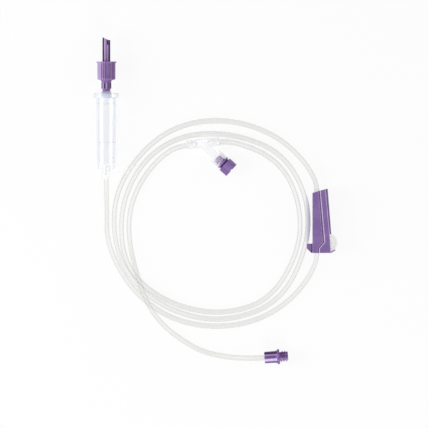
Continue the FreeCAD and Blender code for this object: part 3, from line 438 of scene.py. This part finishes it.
@dataclass(frozen=True)
class ClearPlastic:
    """Finish of a see-through wall, whose cover depends on how squarely it is looked at.

    The renderer stops after eight plain see-through walls. A piece that lies inside another clear
    one, or holds one, can be nested: its window is made by transmission, which is counted apart.
    """

    name: str
    body: Colour
    rim: Colour
    profile: Profile
    pass_through: Colour
    roughness: float = 0.1
    shine: float = 0.05
    edge_width: float = 0.00035
    edge_cover: float = 0.3
    rings: tuple[float, ...] = ()
    ring_cover: float = 0.25
    ring_width: float = 0.0004
    nested: bool = False

    def edges(self, recipe: Recipe) -> bpy.types.NodeSocket:
        """Return how much an edge adds to the cover."""
        return recipe.sum("MULTIPLY", recipe.edge(self.edge_width), self.edge_cover)

    def cover(self, recipe: Recipe, facing: bpy.types.NodeSocket) -> bpy.types.NodeSocket:
        """Work out how much the wall hides of what lies behind it.

        Args:
            recipe: the material that it is added to.
            facing: 0 where the wall is looked at squarely, 1 where it turns away.

        Returns:
            The cover's socket, from 0 to 1.
        """
        cloud = recipe.spread(recipe.noise(WALL_CLOUD_GRAIN, 3.0), 0.97, 1.03)
        cover = recipe.sum("MULTIPLY", recipe.run(facing, self.profile), cloud)
        height = recipe.add("SeparateXYZ", {0: recipe.place()}).outputs[1]
        for ring in self.rings:
            low, high = ring - self.ring_width, ring + self.ring_width
            line = recipe.run(height, ((low, 0.0), (ring, self.ring_cover), (high, 0.0)))
            cover = recipe.sum("MAXIMUM", cover, line)
        return recipe.sum("MAXIMUM", cover, self.edges(recipe))

    def colour(self, recipe: Recipe, facing: bpy.types.NodeSocket) -> bpy.types.NodeSocket:
        """Return the wall's own colour."""
        share = recipe.sum("MAXIMUM", recipe.sum("POWER", facing, 1.5), recipe.edge(self.edge_width))
        return recipe.between(share, self.body, self.rim)

    def window(self, recipe: Recipe) -> bpy.types.NodeSocket:
        """Make the part of the wall that lets the light straight through.

        Args:
            recipe: the material that it is added to.

        Returns:
            The shader's socket.
        """
        if not self.nested:
            return recipe.add("BsdfTransparent", {"Color": self.pass_through}).outputs[0]
        through = recipe.add("BsdfPrincipled", {
            "Base Color": self.pass_through, "Transmission Weight": 1.0, "IOR": 1.0, "Roughness": 0.0,
        })
        return through.outputs[0]

    def material(self) -> bpy.types.Material:
        """Make the finish's material.

        Returns:
            The material.
        """
        recipe = Recipe(self.name)
        facing = recipe.add("LayerWeight", {"Blend": 0.5}).outputs["Facing"]
        rough = recipe.spread(recipe.noise(WALL_GLOSS_GRAIN), self.roughness - 0.03, self.roughness + 0.04)
        wall = recipe.add("BsdfPrincipled", {
            "Base Color": self.colour(recipe, facing), "Roughness": rough, "IOR": 1.46,
            "Specular IOR Level": 0.25,
        })
        seen = recipe.add("MixShader", {
            0: self.cover(recipe, facing), 1: self.window(recipe), 2: wall.outputs[0],
        })
        if self.shine == 0:
            return recipe.finish(seen.outputs[0])
        gloss = recipe.add("BsdfGlossy", {"Color": WHITE, "Roughness": rough})
        fresnel = recipe.add("Fresnel", {"IOR": 1.42}).outputs[0]
        bounce = recipe.sum("MINIMUM", recipe.sum("MULTIPLY", fresnel, 0.6), self.shine)
        shader = recipe.add("MixShader", {0: bounce, 1: seen.outputs[0], 2: gloss.outputs[0]})
        return recipe.finish(shader.outputs[0])


@dataclass(frozen=True)
class CapPlastic(ClearPlastic):
    """Finish of the chamber's cap: a thick clear boss in the middle and a faint skirt below it."""

    boss_y: tuple[float, float] = (0.0769, 0.0816)
    boss_reach: float = 0.0041
    boss_cover: float = 0.5
    skirt_share: float = 0.3
    skirt_fade: float = 0.0006
    boss_fade: float = 0.0003
    side_fade: float = 0.0004

    def cover(self, recipe: Recipe, facing: bpy.types.NodeSocket) -> bpy.types.NodeSocket:
        """Work out how much the wall hides of what lies behind it.

        Args:
            recipe: the material that it is added to.
            facing: 0 where the wall is looked at squarely, 1 where it turns away.

        Returns:
            The cover's socket, from 0 to 1.
        """
        ahead, left = recipe.from_axis(CHAMBER_AXIS)
        low, high = self.boss_y
        skirt = recipe.run(ahead, ((low - self.skirt_fade, self.skirt_share), (low, 1.0)))
        plain = recipe.sum("MULTIPLY", super().cover(recipe, facing), skirt)
        level = recipe.run(ahead, (
            (low - self.boss_fade, 0.0), (low, 1.0), (high, 1.0), (high + self.boss_fade, 0.0),
        ))
        side = recipe.sum("ABSOLUTE", left)
        inner = self.boss_reach - self.side_fade
        middle = recipe.run(side, ((inner, self.boss_cover), (self.boss_reach, 0.0)))
        return recipe.sum("MAXIMUM", plain, recipe.sum("MULTIPLY", level, middle))


@dataclass(frozen=True)
class SoftTubing(ClearPlastic):
    """Finish of the soft tube, whose bore is painted as two lines of shade where it lies across the light,
    with the clamp's reflection painted beside the clamp.
    """

    even: float = 0.2
    # tint is the clamp's colour, painted into the tube beside the clamp as its reflection
    tint: Colour = (0.3, 0.2, 0.45)
    clamp_reflection_cover: float = 0.4
    clamp_reflection_x: tuple[float, float] = (0.0665, 0.0705)
    clamp_reflection_middle_y: float = -0.0135
    clamp_reflection_reach: tuple[float, float] = (0.016, 0.0255)

    def painted_clamp_reflection(self, recipe: Recipe) -> bpy.types.NodeSocket:
        """Work out how strongly the clamp's painted reflection shows in the tube that runs beside it.

        Args:
            recipe: the material that it is added to.

        Returns:
            The strength's socket, from 0 to 1.
        """
        place = recipe.add("SeparateXYZ", {0: recipe.place()})
        near = recipe.add("MapRange", {
            "Value": place.outputs[0], "From Min": self.clamp_reflection_x[0], "From Max": self.clamp_reflection_x[1],
        }).outputs["Result"]
        reach = recipe.sum("ABSOLUTE", recipe.sum("ADD", place.outputs[1], -self.clamp_reflection_middle_y))
        full, gone = self.clamp_reflection_reach
        level = recipe.add("MapRange", {
            "Value": reach, "From Min": full, "From Max": gone, "To Min": 1.0, "To Max": 0.0,
        }).outputs["Result"]
        return recipe.sum("MULTIPLY", near, level)

    def cover(self, recipe: Recipe, facing: bpy.types.NodeSocket) -> bpy.types.NodeSocket:
        """Work out how much the wall hides of what lies behind it.

        Args:
            recipe: the material that it is added to.
            facing: 0 where the wall is looked at squarely, 1 where it turns away.

        Returns:
            The cover's socket, from 0 to 1.
        """
        # Painted light: strands that lie across the light from the left get the profile's painted bore
        # lines, strands along it an even cover
        normal = recipe.add("SeparateXYZ", {0: recipe.add("TexCoord").outputs["Normal"]})
        across = recipe.sum("POWER", normal.outputs[0], 2.0)
        ahead = recipe.sum("POWER", normal.outputs[1], 2.0)
        both = recipe.sum("ADD", recipe.sum("ADD", across, ahead), 0.0001)
        share = recipe.sum("DIVIDE", across, both)
        lined = recipe.sum("MULTIPLY", recipe.run(facing, self.profile), share)
        even = recipe.sum("MULTIPLY", recipe.sum("SUBTRACT", 1.0, share), self.even)
        plain = recipe.sum("ADD", lined, even)
        # The clamp's painted reflection raises the cover beside it
        reflected_clamp_cover = recipe.sum("MULTIPLY", self.painted_clamp_reflection(recipe), self.clamp_reflection_cover)
        return recipe.sum("MAXIMUM", plain, reflected_clamp_cover)

    def colour(self, recipe: Recipe, facing: bpy.types.NodeSocket) -> bpy.types.NodeSocket:
        """Work out the wall's colour, with the clamp's colour painted in beside the clamp as its
        reflection.

        Args:
            recipe: the material that it is added to.
            facing: not used.

        Returns:
            The colour's socket.
        """
        cloud = recipe.spread(recipe.noise(TUBE_CLOUD_GRAIN), 0.0, 1.0)
        plain = recipe.between(cloud, self.body, self.rim)
        return recipe.between(self.painted_clamp_reflection(recipe), plain, self.tint)


# How much a clear wall hides, from where it is looked at squarely to where it turns away
EDGED = ((0.0, 0.06), (0.3, 0.07), (0.6, 0.16), (0.85, 0.5), (1.0, 0.75))
CAPPED = ((0.0, 0.14), (0.3, 0.15), (0.6, 0.2), (0.85, 0.45), (1.0, 0.7))
BANDED = ((0.0, 0.085), (0.04, 0.085), (0.07, 0.06), (0.3, 0.065), (0.6, 0.1), (0.85, 0.35), (1.0, 0.7))
MILKY = ((0.0, 0.06), (0.3, 0.08), (0.7, 0.16), (1.0, 0.45))
# LINED paints the tube's bore as two lines of shade
LINED = ((0.0, 0.05), (0.06, 0.06), (0.16, 0.3), (0.28, 0.3), (0.42, 0.07), (0.6, 0.05), (1.0, 0.12))

# Stripes placed for reflections and shades that the photograph shows
SPIKE_STRIPES = Stripes(CHAMBER_AXIS, (0.10425, 0.13), (
    (-0.0031, 0.15), (-0.0026, 0.05), (-0.0018, 0.05), (-0.0015, 0.7), (-0.0008, 0.9), (-0.0004, 0.6),
    (0.0002, 0.45), (0.0006, 0.7), (0.0013, 0.9), (0.0016, 0.5), (0.0018, 0.0), (0.0029, 0.0),
    (0.0031, 0.2)))
COLLAR_STRIPES = Stripes(CHAMBER_AXIS, (0.0905, 0.10425), (
    (-0.0078, 0.5), (-0.005, 0.45), (-0.0047, 0.2), (-0.0044, 0.6), (-0.0024, 0.6), (-0.0021, 0.1),
    (-0.0018, 0.6), (-0.0009, 0.65), (-0.0006, 0.1), (-0.0003, 0.6), (0.0002, 0.6), (0.0005, 0.1),
    (0.0009, 0.65), (0.0018, 0.65), (0.0021, 0.1), (0.0024, 0.7), (0.0031, 0.7), (0.0034, 0.15),
    (0.0037, 0.75), (0.0078, 0.7)))
STEM_STRIPES = Stripes(CHAMBER_AXIS, (0.0838, 0.0885), (
    (-0.0034, 0.5), (-0.0031, 0.05), (-0.0024, 0.05), (-0.0022, 0.8), (-0.0019, 0.8), (-0.0017, 0.1),
    (-0.001, 0.1), (-0.0008, 0.8), (0.0004, 0.85), (0.0006, 0.1), (0.0017, 0.1), (0.0019, 0.8),
    (0.0027, 0.85), (0.0029, 0.1), (0.0038, 0.1), (0.004, 0.7)))
TAIL_STRIPES = Stripes(TAIL_AXIS, (-0.001, 0.0096), (
    (-0.0046, 0.3), (-0.0035, 0.45), (-0.0031, 0.3), (-0.0029, 1.0), (-0.0011, 1.0), (-0.0008, 0.4),
    (0.0009, 0.35), (0.0013, 0.75), (0.0023, 0.7), (0.0025, 0.05), (0.0038, 0.0), (0.0043, 0.5)))
THREAD_STRIPES = Stripes(TAIL_AXIS, (0.0115, 0.019), (
    (-0.0044, 0.7), (-0.003, 0.8), (-0.0015, 0.6), (0.0008, 0.35), (0.0016, 0.65), (0.0024, 0.2),
    (0.0044, 0.55)))
PLUG_STRIPES = Stripes(BRANCH_AXIS, (0.012, 0.0205), (
    (-0.0044, 0.7), (-0.0036, 1.0), (-0.0031, 0.0), (-0.0027, 0.0), (-0.0023, 1.0), (-0.0019, 1.0),
    (-0.0016, 0.0), (-0.0012, 0.0), (-0.0008, 1.0), (-0.0004, 1.0), (-0.0001, 0.0), (0.0003, 0.0),
    (0.0007, 1.0), (0.0011, 1.0), (0.0014, 0.0), (0.0018, 0.0), (0.0022, 1.0), (0.0044, 1.0)))
NECK_STRIPES = Stripes(BRANCH_AXIS, (0.0221, 0.0234), ((-0.0062, 0.0), (0.0062, 0.0)), 0.0001)


class Finish(Enum):
    """The finishes of the set's pieces."""

    SPIKE = SolidPlastic(
        name="purple_spike", colour=screen(141, 107, 168), deep=screen(48, 16, 70),
        pale=screen(204, 182, 222), hollow=screen(58, 32, 76),
        stripes=(SPIKE_STRIPES, COLLAR_STRIPES, STEM_STRIPES), roughness=0.3, round_edge=0.00012,
        edge_width=0.00035, edge_highlight=0.1, skin_depth=0.000001, hollow_range=(0.02, 0.35), gloss=0.15)
    TAIL = SolidPlastic(
        name="purple_tail", colour=screen(132, 86, 158), deep=screen(60, 28, 82),
        pale=screen(204, 196, 234), hollow=screen(84, 50, 108), stripes=(TAIL_STRIPES, THREAD_STRIPES),
        roughness=0.2, round_edge=0.00015, edge_width=0.0004, edge_highlight=0.3, skin_depth=0.000001,
        hollow_range=(0.0, 0.35), gloss=0.25)
    CLAMP = SolidPlastic(
        name="purple_clamp_body", colour=screen(133, 104, 164), deep=screen(112, 80, 140),
        pale=screen(240, 224, 250), hollow=screen(88, 58, 116), roughness=0.42, round_edge=0.0002,
        edge_width=0.0006, edge_highlight=0.4, hollow_range=(0.05, 0.8), slant_highlight=0.36, gloss=0.25)
    PORT_CAP = SolidPlastic(
        name="purple_port_cap", colour=screen(144, 112, 174), deep=screen(50, 20, 72),
        pale=screen(222, 210, 232), hollow=screen(40, 16, 58), stripes=(PLUG_STRIPES, NECK_STRIPES),
        roughness=0.36, round_edge=0.00014, edge_width=0.00035, edge_highlight=0.16,
        hollow_range=(0.06, 0.36), gloss=0.25)
    ROLLER = ClearPlastic(
        name="white_roller_wheel", body=screen(228, 228, 230), rim=screen(205, 205, 208),
        profile=((0.0, 0.1), (0.5, 0.2), (1.0, 0.5)), pass_through=(0.99, 0.99, 0.99),
        roughness=0.34, shine=0.0, edge_width=0.0004, edge_cover=0.6)
    CHAMBER_CAP = CapPlastic(
        name="clear_chamber_cap", body=screen(216, 222, 236), rim=screen(190, 200, 224),
        profile=CAPPED, pass_through=(0.995, 0.996, 0.998), edge_cover=0.5, nested=True)
    CHAMBER = ClearPlastic(
        name="clear_chamber_wall", body=screen(216, 220, 232), rim=screen(184, 196, 222),
        profile=BANDED, pass_through=(0.997, 0.998, 1.0),
        rings=(FOOT_RING, FLOOR_RING, STEP_RING, TOP_RING))
    SLEEVE = ClearPlastic(
        name="clear_outlet_sleeve", body=screen(226, 226, 226), rim=screen(206, 206, 208),
        profile=MILKY, pass_through=(0.995, 0.995, 0.995), edge_cover=0.12, nested=True)
    PORT = ClearPlastic(
        name="clear_side_port", body=screen(216, 216, 228), rim=screen(186, 186, 202),
        profile=EDGED, pass_through=(0.996, 0.996, 0.998), edge_cover=0.2, nested=True)
    TUBE = SoftTubing(
        name="soft_clear_tube", body=screen(206, 205, 199), rim=screen(202, 201, 195),
        profile=LINED, pass_through=(0.998, 0.998, 0.997), roughness=0.34, shine=0.0)


class Palette:
    """Makes each finish's material once and lends it out."""

    def __init__(self) -> None:
        """Start with no material made."""
        self.made: dict[Finish, bpy.types.Material] = {}

    def get(self, finish: Finish) -> bpy.types.Material:
        """Lend out the material of a finish.

        Args:
            finish: the finish.

        Returns:
            Its material, made the first time that it is asked for.
        """
        if finish not in self.made:
            self.made[finish] = finish.value.material()
        return self.made[finish]

    def dress(self, node: str, finish: Finish) -> None:
        """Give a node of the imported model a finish.

        Args:
            node: the node's name.
            finish: the finish that it gets.
        """
        slots = NODES[node].data.materials
        slots.clear()
        slots.append(self.get(finish))


@dataclass
class Tube:
    """A soft tube, swept along the smooth line that its route's points pull on."""

    name: str
    node: str
    points: list[Point]
    seats: tuple[float, float] = (0.0, 0.0)
    outside: float = 0.0042
    seat_fit: float = 0.93
    sides: int = 24
    steps: int = 8
    line: list[Vector] = field(default_factory=list)

    def follow(self) -> list[Vector]:
        """Draw the smooth line that the route's points pull on.

        Returns:
            The places along the line.
        """
        curve = bpy.data.curves.new(self.name + "_line", "CURVE")
        curve.dimensions = "3D"
        curve.resolution_u = self.steps
        spline = curve.splines.new("NURBS")
        spline.points.add(len(self.points) - 1)
        for place, point in zip(spline.points, self.points):
            place.co = (*point, 1.0)
        spline.order_u = 3
        spline.use_endpoint_u = True
        holder = bpy.data.objects.new(self.name + "_line", curve)
        bpy.context.scene.collection.objects.link(holder)
        bpy.context.view_layer.update()
        mesh = bpy.data.meshes.new_from_object(holder)
        places = [vertex.co.copy() for vertex in mesh.vertices]
        bpy.data.objects.remove(holder)
        bpy.data.meshes.remove(mesh)
        return places

    def rings(self) -> list[tuple[Vector, Vector, Vector]]:
        """Find directions square to the line that don't twist along it.

        Returns:
            Each place on the line with its direction sideways and its direction upwards.
        """
        found = []
        side = None
        for number, place in enumerate(self.line):
            before = self.line[max(number - 1, 0)]
            after = self.line[min(number + 1, len(self.line) - 1)]
            ahead = (after - before).normalized()
            if side is None:
                side = ahead.cross(Vector((0.0, 0.0, 1.0))).normalized()
            side = (side - ahead * side.dot(ahead)).normalized()
            found.append((place, side, side.cross(ahead)))
        return found

    def radii(self) -> list[float]:
        """Work out the tube's radius along the line; inside its sockets it is squeezed a little.

        Returns:
            The radius at each place on the line.
        """
        gone = [0.0]
        for before, after in zip(self.line, self.line[1:]):
            gone.append(gone[-1] + (after - before).length)
        first, last = self.seats
        return [
            self.outside / 2 * (self.seat_fit if way < first or gone[-1] - way < last else 1.0)
            for way in gone
        ]

    def build(self, palette: Palette) -> bpy.types.Object:
        """Make the tube's mesh and dress it.

        Args:
            palette: the materials.

        Returns:
            The tube's object, which stands for its node.
        """
        self.line = self.follow()
        rings = self.rings()
        corners = []
        for (place, side, rise), radius in zip(rings, self.radii()):
            for step in range(self.sides):
                angle = 2 * math.pi * step / self.sides
                corners.append(place + (side * math.cos(angle) + rise * math.sin(angle)) * radius)
        faces = []
        for ring in range(len(rings) - 1):
            for step in range(self.sides):
                first = ring * self.sides + step
                second = ring * self.sides + (step + 1) % self.sides
                faces.append((first, second, second + self.sides, first + self.sides))
        wall_faces = len(faces)
        last = (len(rings) - 1) * self.sides
        faces.append(tuple(reversed(range(self.sides))))
        faces.append(tuple(range(last, last + self.sides)))
        mesh = bpy.data.meshes.new(self.name)
        mesh.from_pydata([tuple(corner) for corner in corners], [], faces)
        mesh.materials.append(palette.get(Finish.TUBE))
        for number, face in enumerate(mesh.polygons):
            face.use_smooth = number < wall_faces
        mesh.update()
        tube = bpy.data.objects.new(self.name, mesh)
        bpy.context.scene.collection.objects.link(tube)
        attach(tube, "set")
        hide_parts(self.node)
        return tube


@dataclass
class Tubing:
    """The set's whole tube: three free stretches and the one that the clamp holds."""

    start: Point = (CHAMBER_X, 0.0232, 0.0094)
    clamp_low: Point = (CLAMP_TUBE_X, -0.03715, CLAMP_TUBE_Z)
    clamp_high: Point = (CLAMP_TUBE_X, 0.00495, CLAMP_TUBE_Z)
    clamp_wall_x: float = 0.07405
    clamp_middle_y: float = -0.0161
    squeeze_anchor_y: float = -0.016
    pinched_share: float = 0.37
    upper_length: float = 0.269
    lower_length: float = 0.988
    patient_length: float = 0.260
    sleeve_seat: float = 0.0058
    port_right_seat: float = 0.0086
    port_left_seat: float = 0.0081
    tail_seat: float = 0.0065
    upper: list[Point] = field(default_factory=list)
    lower: list[Point] = field(default_factory=list)
    patient: list[Point] = field(default_factory=list)

    def routes(self) -> None:
        """Set the points that each free stretch is drawn to.

        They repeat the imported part's routes, but the upper one begins further out in its sleeve.
        """
        low = FLOOR_LINE
        self.upper = [
            self.start, (CHAMBER_X, 0.0086, 0.0094),
            (-0.0812, -0.0097, 0.005), (-0.0814, -0.0261, low), (-0.0771, -0.0409, low),
            (-0.0704, -0.0541, low), (-0.0613, -0.0667, low), (-0.0501, -0.0773, low),
            (-0.0363, -0.0863, low), (-0.0191, -0.0924, low), (0.001, -0.0946, low),
            (0.0211, -0.0924, low), (0.0395, -0.0858, low), (0.056, -0.0746, low),
            (0.0676, -0.0612, low), (0.0736, -0.0508, 0.0045),
            (CLAMP_TUBE_X, -0.04245, CLAMP_TUBE_Z), self.clamp_low,
        ]
        self.lower = [
            self.clamp_high, (CLAMP_TUBE_X, 0.01025, CLAMP_TUBE_Z),
            (0.074, 0.0175, 0.0045), (0.0684, 0.0269, low), (0.0597, 0.0369, low),
            (0.0477, 0.0468, low), (0.0319, 0.0547, low), (0.0148, 0.0593, low), (-0.0017, 0.0604, low),
            (-0.0182, 0.0584, low), (-0.0343, 0.0526, low), (-0.0491, 0.042, low),
            (-0.0605, 0.0294, low), (-0.0699, 0.0147, low), (-0.0752, -0.001, low),
            (-0.0763, -0.0168, low), (-0.0743, -0.0333, 0.003), (-0.0697, -0.0477, 0.0046),
            (-0.0604, -0.0613, 0.0053), (-0.048, -0.0731, 0.0051), (-0.0316, -0.0822, 0.0034),
            (-0.0138, -0.0878, low), (0.0043, -0.0893, low), (0.0224, -0.0861, low),
            (0.038, -0.0798, low), (0.0502, -0.0699, low), (0.059, -0.057, low), (0.0663, -0.0387, low),
            (0.0697, -0.0213, low), (0.0689, -0.0031, low), (0.0641, 0.0125, low),
            (0.0554, 0.0276, low), (0.0421, 0.0393, low), (0.0252, 0.0463, low), (0.0068, 0.0502, low),
            (-0.012, 0.0504, low), (-0.0294, 0.0464, low), (-0.0447, 0.0375, low),
            (-0.0562, 0.0255, low), (-0.0645, 0.011, low), (-0.0697, -0.0054, low),
            (-0.0707, -0.0219, low), (-0.0692, -0.0379, low), (-0.0631, -0.053, low),
            (-0.0521, -0.0651, low), (-0.0381, -0.0742, low), (-0.0205, -0.081, low),
            (-0.0017, -0.0841, low), (0.017, -0.0823, low), (0.0332, -0.0768, low),
            (0.0457, -0.0662, low), (0.0543, -0.0532, low), (0.0611, -0.0377, low),
            (0.0643, -0.0204, low), (0.0624, -0.0024, low), (0.0577, 0.012, low), (0.0499, 0.0249, low),
            (0.038, 0.0348, low), (0.025, 0.0406, 0.0032),
            along(PORT, PORT_TURN, 0.0191), along(PORT, PORT_TURN, 0.0045),
        ]
        self.patient = [
            along(PORT, PORT_TURN, -0.00315), along(PORT, PORT_TURN, -0.0172),
            (-0.0396, 0.0339, 0.004), (-0.0505, 0.0223, low), (-0.0589, 0.0082, low),
            (-0.0638, -0.006, low), (-0.0651, -0.0204, low), (-0.0638, -0.034, 0.0026),
            (-0.0612, -0.0459, 0.0058), (-0.0584, -0.0559, 0.0091), (-0.055, -0.0668, 0.0097),
            (-0.05, -0.0783, 0.0094), (-0.0435, -0.0883, 0.0065), (-0.0349, -0.0971, 0.0029),
            (-0.0242, -0.1051, low), (-0.0102, -0.1129, low), (0.0043, -0.1165, low),
            (0.0181, -0.1179, 0.0039),
            along(TAIL, TAIL_TURN, -0.0058), along(TAIL, TAIL_TURN, 0.007),
        ]

    def build(self, palette: Palette) -> None:
        """Make the four stretches of tube.

        Args:
            palette: the materials.
        """
        self.routes()
        stretches = (
            (Tube("tube_chamber_to_clamp", "feed_tube_upper", self.upper, (self.sleeve_seat, 0.0)),
             self.start, self.upper_length),
            (Tube("tube_clamp_to_port", "feed_tube_lower", self.lower, (0.0, self.port_right_seat)),
             self.clamp_high, self.lower_length),
            (Tube("tube_port_to_tail", "patient_tube", self.patient,
                  (self.port_left_seat, self.tail_seat)), self.patient[0], self.patient_length),
        )
        for tube, leaves, length in stretches:
            piece = tube.build(palette)
            LOG.info("%s: %d faces", piece.name, len(piece.data.polygons))
        held = Tube("tube_in_clamp", "clamped_tube",
                    [self.clamp_low, (CLAMP_TUBE_X, self.clamp_middle_y, CLAMP_TUBE_Z),
                     self.clamp_high])
        piece = held.build(palette)
        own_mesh(piece)
        LOG.info("%s: %d faces", piece.name, len(piece.data.polygons))


@dataclass
class Mouldings:
    """The set's moulded pieces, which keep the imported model's shapes."""

    finishes: dict[str, Finish] = field(default_factory=lambda: {
        "spike_connector": Finish.SPIKE,
        "chamber_cap": Finish.CHAMBER_CAP,
        "drip_chamber": Finish.CHAMBER,
        "outlet_sleeve": Finish.SLEEVE,
        "clamp_housing": Finish.CLAMP,
        "clamp_roller": Finish.ROLLER,
        "y_connector": Finish.PORT,
        "port_cap": Finish.PORT_CAP,
        "end_connector": Finish.TAIL,
    })

    def build(self, palette: Palette) -> None:
        """Dress each moulding.

        Args:
            palette: the materials.
        """
        for node, finish in self.finishes.items():
            palette.dress(node, finish)
            LOG.info("%s: %s", node, finish.name)


@dataclass
class Studio:
    """The white table, the soft lamps and the camera that looks straight down."""

    view_width: float = 0.321
    view_centre: tuple[float, float] = (-0.000975, -0.0099)
    view_level: float = 0.003
    camera_height: float = 5.0
    sensor_width: float = 36.0
    table_size: float = 4.0
    table_drop: float = 0.00004
    table_glow: float = 0.9
    sky: float = 0.42

    def camera(self) -> None:
        """Hang the camera over the set."""
        data = bpy.data.cameras.new("overhead")
        data.sensor_width = self.sensor_width
        data.lens = self.sensor_width * (self.camera_height - self.view_level) / self.view_width
        data.clip_end = 20.0
        camera = bpy.data.objects.new("overhead", data)
        camera.location = (*self.view_centre, self.camera_height)
        bpy.context.scene.collection.objects.link(camera)
        bpy.context.scene.camera = camera

    def seen(self, recipe: Recipe) -> bpy.types.NodeSocket:
        """Find what the viewer sees, straight, by a reflection or through glass.

        Args:
            recipe: the material that it is added to.

        Returns:
            A socket that is 1 to the viewer and 0 to the light on the set.
        """
        path = recipe.add("LightPath")
        looks = recipe.sum("MAXIMUM", path.outputs["Is Camera Ray"], path.outputs["Is Glossy Ray"])
        return recipe.sum("MAXIMUM", looks, path.outputs["Is Transmission Ray"])

    def table(self) -> None:
        """Lay the white table, which keeps a faint shadow."""
        half, low = self.table_size / 2, -self.table_drop
        mesh = bpy.data.meshes.new("table")
        corners = [(-half, -half, low), (half, -half, low), (half, half, low), (-half, half, low)]
        mesh.from_pydata(corners, [], [(0, 1, 2, 3)])
        recipe = Recipe("white_table")
        grain = recipe.spread(recipe.noise(TABLE_GRAIN), 0.96, 0.97)
        tint = recipe.add("CombineColor", {0: grain, 1: grain, 2: grain})
        matt = recipe.add("BsdfDiffuse", {"Color": tint.outputs[0]})
        glow = recipe.add("Emission", {"Color": WHITE, "Strength": 1.0})
        share = recipe.sum("MULTIPLY", self.seen(recipe), self.table_glow)
        white = recipe.add("MixShader", {0: share, 1: matt.outputs[0], 2: glow.outputs[0]})
        mesh.materials.append(recipe.finish(white.outputs[0]))
        table = bpy.data.objects.new("table", mesh)
        bpy.context.scene.collection.objects.link(table)

    def surroundings(self) -> None:
        """Make the room white to the viewer and a softer grey to the set."""
        world = bpy.data.worlds.new("studio")
        world.use_nodes = True
        tree = world.node_tree
        tree.nodes.clear()
        path = tree.nodes.new("ShaderNodeLightPath")
        first = tree.nodes.new("ShaderNodeMath")
        second = tree.nodes.new("ShaderNodeMath")
        for node in (first, second):
            node.operation = "MAXIMUM"
        tree.links.new(path.outputs["Is Camera Ray"], first.inputs[0])
        tree.links.new(path.outputs["Is Glossy Ray"], first.inputs[1])
        tree.links.new(first.outputs[0], second.inputs[0])
        tree.links.new(path.outputs["Is Transmission Ray"], second.inputs[1])
        soft = tree.nodes.new("ShaderNodeBackground")
        soft.inputs["Color"].default_value = (self.sky, self.sky, self.sky, 1.0)
        white = tree.nodes.new("ShaderNodeBackground")
        white.inputs["Color"].default_value = (*WHITE, 1.0)
        mix = tree.nodes.new("ShaderNodeMixShader")
        tree.links.new(second.outputs[0], mix.inputs[0])
        tree.links.new(soft.outputs[0], mix.inputs[1])
        tree.links.new(white.outputs[0], mix.inputs[2])
        output = tree.nodes.new("ShaderNodeOutputWorld")
        tree.links.new(mix.outputs[0], output.inputs["Surface"])
        bpy.context.scene.world = world

    def lamp(self, name: str, place: Point, size: float, power: float) -> None:
        """Set a square soft lamp that faces the set's middle.

        Args:
            name: the lamp's name.
            place: where it hangs.
            size: the length of its side.
            power: its power in watts.
        """
        data = bpy.data.lights.new(name, "AREA")
        data.size = size
        data.energy = power
        lamp = bpy.data.objects.new(name, data)
        lamp.location = place
        lamp.rotation_euler = (-Vector(place)).to_track_quat("-Z", "Y").to_euler()
        bpy.context.scene.collection.objects.link(lamp)

    def build(self) -> None:
        """Set up the whole studio."""
        self.table()
        self.surroundings()
        self.lamp("lamp_left", (-0.95, -0.1, 0.5), size=0.55, power=7.5)
        self.lamp("lamp_right", (0.95, 0.1, 0.45), size=0.45, power=1.8)
        self.lamp("lamp_near", (0.1, -0.95, 0.55), size=0.4, power=3.4)
        bpy.context.scene.view_settings.view_transform = "Standard"


def main() -> None:
    """Build the studio and the set, and say what was made."""
    logging.basicConfig(level=logging.INFO, format="%(message)s")
    studio = Studio()
    studio.camera()
    palette = Palette()
    Tubing().build(palette)
    Mouldings().build(palette)
    studio.build()


if __name__ == "__main__":
    main()
